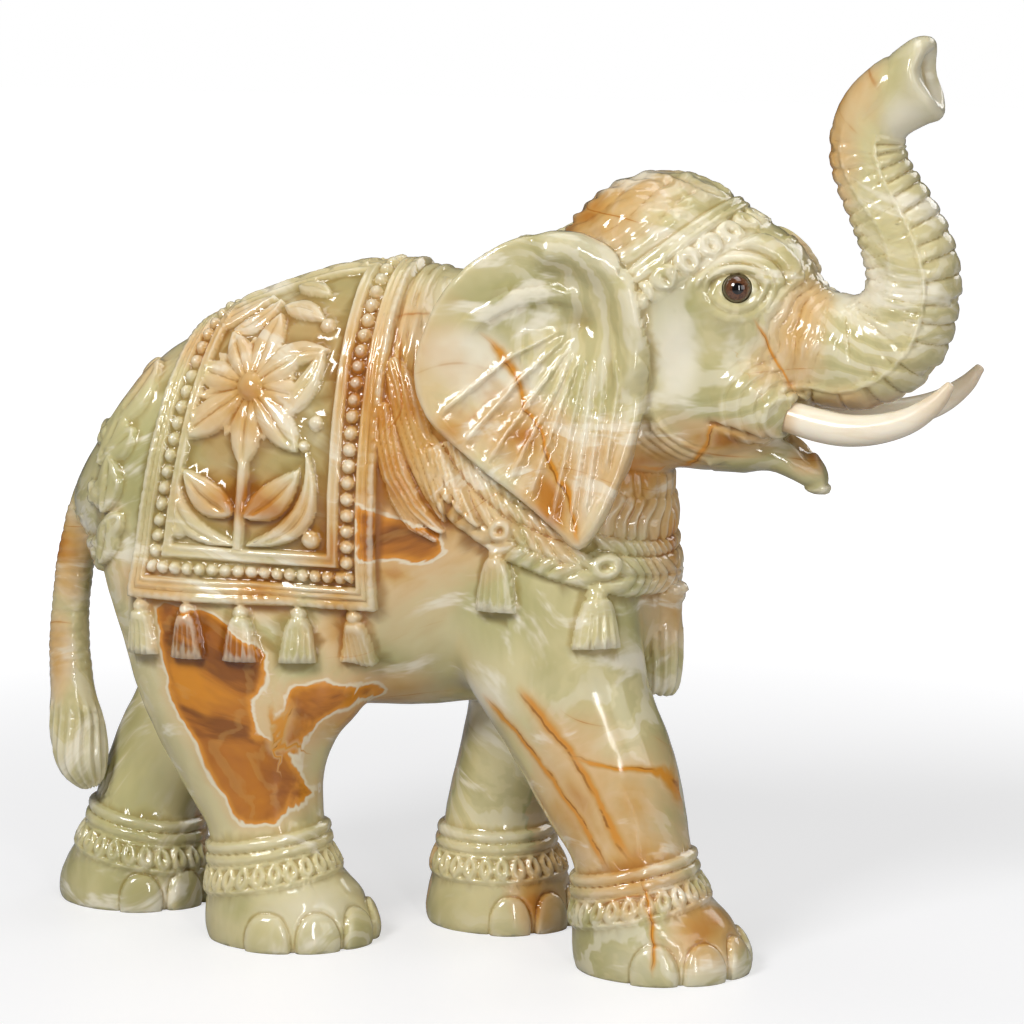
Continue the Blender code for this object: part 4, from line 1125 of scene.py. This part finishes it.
def carving_piece(finish):
    skin = carved(plain_carving())
    dense = skin.mesh
    points, normals = mesh_points(dense), mesh_normals(dense)
    # How far each point lies below the mean of its neighbours, for painted shade in the hollows and a painted
    # highlight on the ridges
    hollow = np.einsum("ij,ij->i", neighbour_mean(dense, points, HOLLOW_ROUNDS) - points, normals) / UNIT
    bit = bmesh.new()
    for name, side in SIDES.items():
        tusk_forms(bit, side, SOCKET_CLEARANCE, SOCKET_REACH)
        centre, radius = eye_place("eye_" + name)
        ball_forms(bit, centre, radius + SOCKET_CLEARANCE, 16)
    mesh = drilled(soled(thinned(dense, CARVING_TRIANGLES)), bare_mesh("bit", bit))
    tree = KDTree(len(points))
    for index, point in enumerate(points):
        tree.insert(point, index)
    tree.balance()
    nearest = np.array([tree.find(point)[1] for point in mesh_points(mesh)])
    kept, own = normals[nearest], mesh_normals(mesh)
    strayed = (np.einsum("ij,ij->i", kept, own) < 0.5) | (mesh_points(mesh)[:, 2] < 1e-6)
    kept[strayed] = own[strayed]
    mesh.shade_smooth()
    mesh.normals_split_custom_set_from_vertices(kept)
    # hollow and ground carry painted shade, and hollow a painted highlight on the ridges, into the stone's
    # colour
    marks = {"hollow": hollow[nearest], "ground": skin.ground[nearest], "cloth": skin.cloth[nearest]}
    for name, values in {**marks, **stone_fields(grid_places(mesh))}.items():
        add_field(mesh, name, values)
    return made_piece("carved_elephant", mesh, "elephant", finish)


def tusk_piece(name, side, finish):
    forms = bmesh.new()
    tusk_forms(forms, side, 0.0, None)
    mesh = bare_mesh("ivory_" + name, forms)
    mesh.shade_smooth()
    add_field(mesh, "along", (grid_places(mesh)[:, 0] - TUSK[0][0]) / (TUSK[-1][0] - TUSK[0][0]))
    return made_piece("ivory_tusk_" + name, mesh, "tusk_" + name, finish)


def eye_piece(name, side, finish):
    centre, radius = eye_place("eye_" + name)
    forms = bmesh.new()
    ball_forms(forms, centre, radius, 32)
    mesh = bare_mesh("glass_" + name, forms)
    mesh.shade_smooth()
    off = (mesh_points(mesh) - np.array(centre)) @ np.array(eye_gaze(side)) / radius
    add_field(mesh, "turned", np.arccos(np.clip(off, -1, 1)))
    return made_piece("glass_eye_" + name, mesh, "eye_" + name, finish)


# Where the stone turns warm, white or green: centre and radii, with y measured out to both sides
WARM_SPOTS = [
    (-92, 110, 530, 76, 90, 150), (-70, 110, 464, 96, 90, 76), (322, 0, 860, 36, 60, 84),
    (-352, 110, 380, 60, 40, 26), (-236, 120, 384, 40, 40, 24), (136, 36, 768, 70, 44, 44),
    (92, 44, 742, 50, 40, 34), (336, 0, 835, 36, 60, 90), (352, 0, 900, 40, 50, 50),
    (378, 0, 590, 60, 60, 24), (190, 0, 430, 40, 70, 90), (150, 60, 520, 66, 90, 60),
    (56, 135, 560, 54, 60, 36), (88, 135, 500, 34, 60, 60), (330, 0, 530, 24, 40, 14),
    (240, 62, 556, 50, 40, 20), (166, 100, 116, 50, 60, 40), (236, 90, 46, 34, 60, 36),
    (50, 20, 24, 34, 60, 40), (-500, 0, 396, 24, 40, 50), (-512, 0, 268, 18, 40, 50),
    (-130, 110, 600, 34, 60, 110), (-290, 110, 660, 150, 60, 50), (296, 0, 630, 30, 70, 40),
    (-90, 120, 408, 50, 60, 24), (118, 110, 190, 60, 60, 70), (-160, 90, 250, 110, 60, 40),
    (-250, 120, 590, 60, 60, 60), (-150, 110, 400, 30, 60, 110), (-20, 140, 560, 30, 40, 30),
    (-244, 120, 476, 76, 60, 28), (-420, 70, 640, 60, 60, 60), (316, 20, 660, 30, 60, 60),
]
WHITE_SPOTS = [
    (452, 0, 920, 40, 60, 50), (420, 0, 880, 30, 60, 36), (230, 60, 748, 60, 60, 34),
    (200, 70, 640, 26, 60, 60), (-10, 140, 640, 50, 60, 30), (30, 140, 610, 60, 60, 26),
    (120, 140, 520, 24, 60, 60), (190, 70, 20, 60, 90, 40), (-200, 80, 40, 60, 80, 40),
    (10, 90, 280, 60, 60, 30), (380, 0, 700, 40, 60, 50), (140, 80, 130, 40, 60, 30),
    (-480, 0, 170, 40, 50, 40),
]
GREEN_SPOTS = [
    (60, 140, 700, 90, 60, 46), (120, 140, 610, 40, 60, 60), (200, 70, 690, 34, 60, 50),
    (20, 110, 380, 60, 60, 70), (60, 110, 440, 60, 60, 40), (-160, 80, 300, 90, 90, 50),
    (-360, 100, 500, 60, 80, 80), (-262, 80, 44, 44, 90, 30), (-440, 60, 120, 90, 90, 150),
    (-40, 60, 160, 70, 50, 150), (330, 0, 760, 50, 60, 60), (220, 60, 570, 40, 60, 40),
    (150, 60, 380, 50, 60, 50),
]

# Amber patches on each flank: outlines in x and z
THIGH_PATCH = [
    (-351, 302), (-347, 267), (-303, 209), (-292, 181), (-259, 129), (-221, 132), (-202, 180), (-205, 212),
    (-239, 231), (-242, 267), (-223, 282), (-234, 317), (-293, 356), (-350, 359),
]
BELLY_PATCH = [
    (-203, 280), (-166, 290), (-125, 273), (-159, 252), (-186, 238), (-200, 198), (-212, 150), (-190, 160),
    (-222, 240),
]
FLANK_PATCH = [(-124, 476), (-75, 464), (-43, 456), (-30, 433), (-47, 418), (-84, 421), (-124, 422)]

# Rusty veins on each flank: half width, the least and most distance out, and a line in x and z
VEINS = [
    (4.5, 62, 200, [(46, 300), (87, 258), (108, 232), (129, 193), (149, 157), (170, 123)]),
    (3.6, 62, 200, [(144, 110), (117, 158), (86, 204), (49, 247), (5, 285)]),
    (2.6, 95, 200, [(14, 662), (29, 648), (45, 624), (55, 585), (71, 566), (81, 530), (102, 504), (116, 446)]),
    (1.3, 40, 95, [(277, 683), (291, 653), (300, 635), (318, 600)]),
    (2.4, 26, 95, [(146, 520), (185, 516), (213, 529), (228, 550), (238, 571), (254, 572)]),
    (2.6, 40, 200, [(-223, 268), (-220, 215), (-197, 269)]),
]
CROSS_VEINS = [
    (2.6, 62, 200, [(220, 143), (204, 182), (189, 214), (148, 222), (104, 231)]),
    (1.6, 40, 200, [(180, 112), (196, 60), (200, 10)]),
]


def spotted(spots, places):
    """How far inside the nearest of some soft round places each point lies: 1 at a centre, 0 at an edge."""
    both_sides = np.stack([spots[:, 0], np.abs(spots[:, 1]), spots[:, 2]], 1)
    most = np.full(len(spots), -1.0)
    for place in places:
        away = np.linalg.norm((both_sides - place[:3]) / place[3:], axis=1)
        most = np.maximum(most, 1 - away)
    return most


def vein_fields(x, z, out, veins):
    """Signed distance to the nearest vein, that vein's half width, and how near it lies."""
    side_of_vein = np.full(len(x), 60.0)
    width, near = np.ones(len(x)), np.zeros(len(x))
    for half, least, most, line in veins:
        away, along, side = to_line(x, z, line)
        length = line_length(line)
        closer = (away / half < np.abs(side_of_vein) / width) & (out > least) & (out < most)
        side_of_vein = np.where(closer, away * side, side_of_vein)
        width = np.where(closer, half, width)
        ends = step(0, 26, along) * step(length, length - 26, along)
        near = np.where(closer, step(34, 18, away) * ends, near)
    return np.clip(side_of_vein, -60, 60), width, near


def stone_fields(spots):
    """Where the stone turns amber, green or white, and its veins, as one number a vertex. The far legs are
    painted greener and warmer as painted shade.
    """
    x, y, z = spots.T
    far = step(-24, 24, y)
    px = x + far * (26 + 14 * np.sin(z / 47))
    pz = z + far * (18 * np.sin(x / 53) - 12)
    moved = np.stack([px, y, pz], 1)
    out = np.abs(y)
    amber = np.full(len(spots), -1.0)
    for outline in (THIGH_PATCH, BELLY_PATCH, FLANK_PATCH):
        inside = edge_distance(px, pz, outline) / 36
        amber = np.where(out > 20, np.maximum(amber, np.clip(inside, -1, 1)), amber)
    # Painted shade: the far legs, which stand in the body's shade, are painted greener and warmer
    far_leg_shade = far * step(340, 240, z) * (out > 30)
    green = np.maximum(spotted(moved, GREEN_SPOTS), far_leg_shade)
    warm = np.maximum(spotted(moved, WARM_SPOTS), -1 + 0.95 * far_leg_shade)
    fields = {"amber": amber, "warm": warm, "white": spotted(moved, WHITE_SPOTS), "green": green}
    for name, veins in (("vein", VEINS), ("cross", CROSS_VEINS)):
        fields[name], fields[name + "_width"], fields[name + "_near"] = vein_fields(px, pz, out, veins)
    return fields


class Shading:
    """Adds nodes to a tree; each input is a socket to link or a plain value."""

    def __init__(self, tree):
        self.tree = tree
        self.colour = None

    def add(self, kind, inputs=None, **settings):
        node = self.tree.nodes.new(kind)
        for name, value in settings.items():
            setattr(node, name, value)
        for name, value in (inputs or {}).items():
            socket = node.inputs[name]
            if isinstance(value, bpy.types.NodeSocket):
                self.tree.links.new(value, socket)
            else:
                socket.default_value = value
        return node

    def math(self, operation, first, second=0.0):
        return self.add("ShaderNodeMath", {0: first, 1: second}, operation=operation).outputs[0]

    def plus(self, first, second):
        return self.math("ADD", first, second)

    def times(self, first, second):
        return self.math("MULTIPLY", first, second)

    def size_of(self, value):
        return self.math("ABSOLUTE", value)

    def vector(self, operation, inputs):
        return self.add("ShaderNodeVectorMath", inputs, operation=operation).outputs

    def blend(self, share, first, second, kind="MIX"):
        node = self.add("ShaderNodeMix", {0: share, 6: first, 7: second}, data_type="RGBA", blend_type=kind)
        return node.outputs[2]

    def paint(self, share, tone, kind="MIX"):
        """Lays a tone over the colour so far."""
        self.colour = self.blend(share, self.colour, tone, kind)

    def rise(self, value, low, high, top=1.0):
        """A smooth rise from 0 at low to top at high."""
        inputs = {"Value": value, "From Min": low, "From Max": high, "To Min": 0.0, "To Max": top}
        return self.add("ShaderNodeMapRange", inputs, interpolation_type="SMOOTHSTEP").outputs[0]

    def noise(self, place, scale, detail, roughness=0.5, output="Fac"):
        inputs = {"Vector": place, "Scale": scale, "Detail": detail, "Roughness": roughness}
        return self.add("ShaderNodeTexNoise", inputs).outputs[output]

    def field(self, name):
        return self.add("ShaderNodeAttribute", attribute_name=name).outputs["Fac"]

    def object_place(self):
        return self.add("ShaderNodeTexCoord").outputs["Object"]

    def seen_by_camera(self):
        return self.add("ShaderNodeLightPath").outputs["Is Camera Ray"]

    def stretched(self, place, turn, stretch):
        return self.add("ShaderNodeMapping", {"Vector": place, "Rotation": turn, "Scale": stretch}).outputs[0]

    def warped(self, place, scale, amount):
        """The place moved about by a slow noise, by up to half the amount."""
        drift = self.noise(place, scale, 1.0, output="Color")
        centred = self.vector("SUBTRACT", {0: drift, 1: (0.5, 0.5, 0.5)})[0]
        scaled = self.vector("SCALE", {0: centred, "Scale": amount})[0]
        return self.vector("ADD", {0: place, 1: scaled})[0]

    def dress(self, shader, values):
        """Joins the painted colour to the shader, and sets its plain values."""
        self.tree.links.new(self.colour, shader.inputs["Base Color"])
        set_inputs(shader, values)


def set_inputs(node, values):
    for name, value in values.items():
        node.inputs[name].default_value = value


def new_material(name):
    made = bpy.data.materials.new(name)
    made.use_nodes = True
    made.node_tree.nodes.clear()
    shading = Shading(made.node_tree)
    shader = shading.add("ShaderNodeBsdfPrincipled")
    output = shading.add("ShaderNodeOutputMaterial")
    made.node_tree.links.new(shader.outputs[0], output.inputs["Surface"])
    return made, shading, shader


def hand_polish_group():
    """Polish that is a little duller in patches, with the faint waviness that a hand leaves."""
    group = bpy.data.node_groups.new("hand_polish", "ShaderNodeTree")
    sockets = {
        "Dullest": ("INPUT", "Float"), "Glossiest": ("INPUT", "Float"), "Waviness": ("INPUT", "Float"),
        "Roughness": ("OUTPUT", "Float"), "Normal": ("OUTPUT", "Vector"),
    }
    for name, (way, kind) in sockets.items():
        group.interface.new_socket(name, in_out=way, socket_type="NodeSocket" + kind)
    shading = Shading(group)
    given = shading.add("NodeGroupInput").outputs
    place = shading.object_place()
    smears = shading.rise(shading.noise(place, 38.0, 2.0, 0.6), 0.35, 0.7)
    span = shading.math("SUBTRACT", given["Dullest"], given["Glossiest"])
    rough = shading.plus(given["Glossiest"], shading.times(span, smears))
    hand = shading.noise(place, 210.0, 1.0, 0.55)
    bump = shading.add("ShaderNodeBump", {"Strength": given["Waviness"], "Distance": 0.0004, "Height": hand})
    shading.add("NodeGroupOutput", {"Roughness": rough, "Normal": bump.outputs[0]})
    return group


def set_polish(shading, shader, polish, dullest, glossiest, waviness):
    node = shading.add("ShaderNodeGroup", node_tree=polish)
    set_inputs(node, {"Dullest": dullest, "Glossiest": glossiest, "Waviness": waviness})
    for name in ("Roughness", "Normal"):
        shading.tree.links.new(node.outputs[name], shader.inputs[name])


# Tones of the stone, as linear red, green and blue
CREAM = (0.68, 0.59, 0.325, 1)
PALE = (0.85, 0.79, 0.63, 1)
GREEN = (0.52, 0.48, 0.225, 1)
DEEP_GREEN = (0.34, 0.31, 0.12, 1)
PEACH = (0.71, 0.475, 0.245, 1)
GOLD = (0.59, 0.33, 0.085, 1)
AMBER = (0.46, 0.155, 0.012, 1)
ORANGE = (0.66, 0.25, 0.015, 1)
BROWN = (0.20, 0.06, 0.006, 1)
RUST = (0.42, 0.13, 0.010, 1)
CLOTH_TONE = (0.62, 0.49, 0.27, 1)
DEEP_AMBER = (0.30, 0.09, 0.010, 1)
# Tones of painted shade in the hollows and on the sunk ground
HOLLOW_SHADE = (0.60, 0.50, 0.30, 1)
WARM_HOLLOW_SHADE = (0.34, 0.12, 0.02, 1)
SUNK_GROUND_SHADE = (0.66, 0.62, 0.44, 1)


def onyx_marble(polish):
    made, shading, shader = new_material("polished_onyx")
    plus, times, size_of, rise = shading.plus, shading.times, shading.size_of, shading.rise
    noise, field, paint = shading.noise, shading.field, shading.paint
    place = shading.object_place()
    drift = shading.warped(place, 9.0, 0.09)
    swirl = shading.warped(drift, 28.0, 0.022)
    tone = noise(drift, 7.0, 2.0)
    cloud = noise(swirl, 24.0, 4.0, 0.58)
    fine = noise(swirl, 110.0, 2.0, 0.6)
    wisps = noise(shading.stretched(swirl, (0.2, 0.9, 0.0), (1.0, 1.0, 3.2)), 24.0, 4.0, 0.62)
    strata = shading.math("SINE", plus(times(tone, 170.0), times(fine, 7.0)))
    banded = rise(noise(place, 12.0, 1.0), 0.42, 0.56)
    cloud_off, fine_off = plus(cloud, -0.5), plus(fine, -0.5)

    # Cream and green, with pale bands and wisps
    shading.colour = CREAM
    greenness = rise(plus(times(field("green"), 0.7), tone), 0.22, 0.95)
    paint(greenness, GREEN)
    paint(rise(plus(cloud, times(greenness, 0.22)), 0.48, 0.80, 0.7), DEEP_GREEN)
    paint(times(rise(strata, 0.1, 0.8, 0.42), banded), PALE)
    paint(times(rise(strata, -0.3, -0.9, 0.3), banded), DEEP_GREEN)
    paint(rise(wisps, 0.53, 0.66, 0.65), PALE)
    paint(rise(plus(field("white"), cloud_off), -0.15, 0.6, 0.8), PALE)
    paint(times(field("cloth"), 0.38), CLOTH_TONE)

    # Warm washes with rusty threads
    warm = plus(field("warm"), times(cloud_off, 2.2))
    paint(rise(warm, -0.50, 0.20, 0.72), PEACH)
    paint(rise(warm, 0.0, 0.62, 0.85), GOLD)
    paint(rise(warm, 0.42, 0.95, 0.8), AMBER)
    long_grain = noise(shading.stretched(drift, (0.3, 0.8, 0.2), (0.7, 0.7, 2.4)), 12.0, 1.6, 0.4)
    thread = size_of(plus(long_grain, -0.5))
    rusted = times(rise(warm, -0.35, 0.30), rise(cloud, 0.44, 0.56))
    paint(times(rise(thread, 0.012, 0.0, 0.55), rusted), GOLD)
    paint(times(rise(thread, 0.0035, 0.0, 0.8), rusted), RUST)
    paint(times(rise(wisps, 0.57, 0.66, 0.55), rise(warm, 0.7, 0.2)), PALE)

    # Amber patches with a crisp pale rim
    wander = plus(times(cloud_off, 1.3), times(fine_off, 0.35))
    amber = plus(field("amber"), wander)
    paint(rise(amber, -0.55, -0.02, 0.55), PEACH)
    paint(times(rise(amber, -0.12, -0.03), rise(amber, 0.05, 0.0, 0.6)), PALE)
    paint(rise(amber, 0.0, 0.07, 0.95), ORANGE)
    paint(rise(amber, 0.04, 0.26, 0.9), AMBER)
    inside = rise(amber, 0.10, 0.35)
    paint(times(rise(wisps, 0.46, 0.64, 0.9), inside), BROWN)
    paint(times(rise(cloud, 0.48, 0.62, 0.7), inside), DEEP_AMBER)
    paint(times(rise(cloud, 0.50, 0.36, 0.9), inside), ORANGE)
    paint(times(rise(strata, 0.5, 0.95, 0.25), inside), GOLD)

    # Veins, each a soft wash, an orange line and a broken dark thread
    jitter = plus(times(cloud_off, 18.0), times(fine_off, 7.0))
    for name in ("vein", "cross"):
        near = field(name + "_near")
        side = shading.math("DIVIDE", plus(field(name), jitter), field(name + "_width"))
        off = size_of(side)
        paint(times(rise(off, 4.5, 0.5, 0.6), near), PEACH)
        swollen = shading.math("DIVIDE", off, plus(times(cloud, 2.4), 0.05))
        paint(times(rise(swollen, 1.7, 0.5, 0.9), near), GOLD)
        paint(times(rise(swollen, 0.9, 0.2, 0.8), near), ORANGE)
        broken = times(rise(wisps, 0.42, 0.54), near)
        paint(times(rise(size_of(plus(side, 0.5)), 0.42, 0.10, 0.7), broken), BROWN)

    # Painted shade in the hollows, rusty where the stone is warm, and on the sunk ground, with a painted
    # highlight that makes the raised ridges paler
    hollow = field("hollow")
    # Painted shade darkens the hollows, rusty where the stone is warm
    paint(rise(hollow, 0.15, 2.2, 0.72), HOLLOW_SHADE, "MULTIPLY")
    paint(times(rise(hollow, 0.6, 2.8, 0.7), rise(warm, -0.3, 0.4)), WARM_HOLLOW_SHADE)
    # Painted shade on the sunk ground
    paint(times(field("ground"), 0.85), SUNK_GROUND_SHADE, "MULTIPLY")
    # Painted highlight: the raised ridges are painted paler
    paint(rise(hollow, -0.4, -2.6, 0.40), PALE)
    shader.subsurface_method = "BURLEY"
    shading.dress(shader, {
        "Subsurface Weight": 0.25, "Subsurface Radius": (1.0, 0.62, 0.30), "Subsurface Scale": 0.003,
        "IOR": 1.5, "Coat Weight": 0.3, "Coat Roughness": 0.03,
    })
    set_polish(shading, shader, polish, 0.22, 0.07, 0.10)
    return made


def ivory_inlay(polish):
    made, shading, shader = new_material("polished_ivory_white")
    grain_place = shading.stretched(shading.object_place(), (0, 0.1, 0), (6.0, 60.0, 60.0))
    grain = shading.noise(grain_place, 6.0, 5.0, 0.6)
    along = shading.field("along")
    shading.colour = (0.90, 0.81, 0.65, 1)
    shading.paint(shading.rise(grain, 0.45, 0.75, 0.5), (0.76, 0.61, 0.40, 1))
    shading.paint(shading.rise(along, 0.72, 1.0, 0.45), (0.62, 0.42, 0.22, 1))
    shading.paint(shading.rise(along, 0.10, 0.0, 0.6), (0.60, 0.36, 0.14, 1))
    shading.dress(shader, {
        "Subsurface Weight": 0.2, "Subsurface Radius": (1.0, 0.7, 0.4), "Subsurface Scale": 0.003,
    })
    set_polish(shading, shader, polish, 0.26, 0.14, 0.05)
    return made


def brown_glass(polish):
    made, shading, shader = new_material("brown_eye_glass")
    turned = shading.field("turned")
    fleck = shading.noise(shading.object_place(), 1500.0, 4.0, 0.6)
    shading.colour = (0.075, 0.026, 0.010, 1)
    shading.paint(shading.rise(fleck, 0.35, 0.7), (0.17, 0.066, 0.027, 1))
    shading.paint(shading.rise(turned, 0.46, 0.36), (0.004, 0.003, 0.003, 1))
    shading.paint(shading.rise(turned, 0.85, 1.05, 0.9), (0.02, 0.008, 0.004, 1))
    shading.dress(shader, {"Coat Weight": 1.0, "Coat Roughness": 0.02})
    set_polish(shading, shader, polish, 0.10, 0.04, 0.01)
    return made


def look_at(obj, place, target):
    obj.location = place
    obj.rotation_mode = "QUATERNION"
    obj.rotation_quaternion = (Vector(target) - Vector(place)).to_track_quat("-Z", "Y")


def set_camera():
    """The photograph's view, from the elephant's right and a little above."""
    azimuth, elevation = math.radians(VIEW_AZIMUTH), math.radians(VIEW_ELEVATION)
    level = math.cos(elevation)
    back = Vector((math.sin(azimuth) * level, -math.cos(azimuth) * level, math.sin(elevation)))
    pixel = UNIT * PHOTO_PIXEL
    away = VIEW_DISTANCE * pixel
    target = at(0, 0, VIEW_CENTRE * PHOTO_PIXEL)
    lens = bpy.data.cameras.new("camera")
    lens.lens = SENSOR_WIDTH * away / (PHOTO_SIDE * pixel)
    lens.shift_y = VIEW_SHIFT / PHOTO_SIDE
    lens.clip_start = 0.01
    lens.clip_end = 20
    camera = linked("camera", lens)
    look_at(camera, target + back * away, target)
    bpy.context.scene.camera = camera


def softbox(name, place, aim_height, size, energy):
    light = bpy.data.lights.new(name, "AREA")
    light.shape = "RECTANGLE"
    light.size, light.size_y = size
    light.energy = energy
    look_at(linked(name, light), place, (0, 0, aim_height))


def set_studio():
    """Soft lights, a dim world that the camera sees as white, and a pale floor that fades to white."""
    softbox("key_light", (-0.45, -1.15, 1.15), 0.14, (0.5, 0.5), 17.5)
    softbox("side_strip", (0.78, -1.15, 0.55), 0.15, (0.11, 0.9), 5)
    softbox("front_fill", (1.35, -0.65, 0.6), 0.16, (0.8, 0.8), 4)
    softbox("top_light", (0.1, 0.1, 1.5), 0, (1.1, 0.6), 5)
    softbox("back_light", (0.7, 1.3, 0.9), 0.15, (0.9, 0.6), 4)
    world = bpy.data.worlds.new("studio")
    world.use_nodes = True
    shading = Shading(world.node_tree)
    world.node_tree.nodes.clear()
    world_light = {"Value": shading.seen_by_camera(), "To Min": 0.07, "To Max": 1.0}
    strength = shading.add("ShaderNodeMapRange", world_light).outputs[0]
    background = shading.add("ShaderNodeBackground", {"Color": (1, 1, 1, 1), "Strength": strength})
    shading.add("ShaderNodeOutputWorld", {"Surface": background.outputs[0]})
    bpy.context.scene.world = world
    bpy.context.scene.view_settings.view_transform = "Standard"
    forms = bmesh.new()
    bmesh.ops.create_grid(forms, x_segments=1, y_segments=1, size=4)
    mesh = bare_mesh("floor", forms)
    floor = linked("floor", mesh)
    made, shading, shader = new_material("pale_floor")
    set_inputs(shader, {"Base Color": (0.42, 0.42, 0.43, 1), "Roughness": 0.5, "Emission Strength": 1.0})
    away = shading.vector("LENGTH", {0: shading.object_place()})["Value"]
    seen = shading.seen_by_camera()
    glow = shading.plus(shading.times(shading.rise(away, 0.2, 0.9, 0.5), seen), shading.times(seen, 0.58))
    tint = shading.blend(glow, (0, 0, 0, 1), (1, 1, 1, 1))
    shading.tree.links.new(tint, shader.inputs["Emission Color"])
    mesh.materials.append(made)


polish = hand_polish_group()
carving_piece(onyx_marble(polish))
ivory = ivory_inlay(polish)
glass = brown_glass(polish)
for name, side in SIDES.items():
    tusk_piece(name, side, ivory)
    eye_piece(name, side, glass)
set_camera()
set_studio()
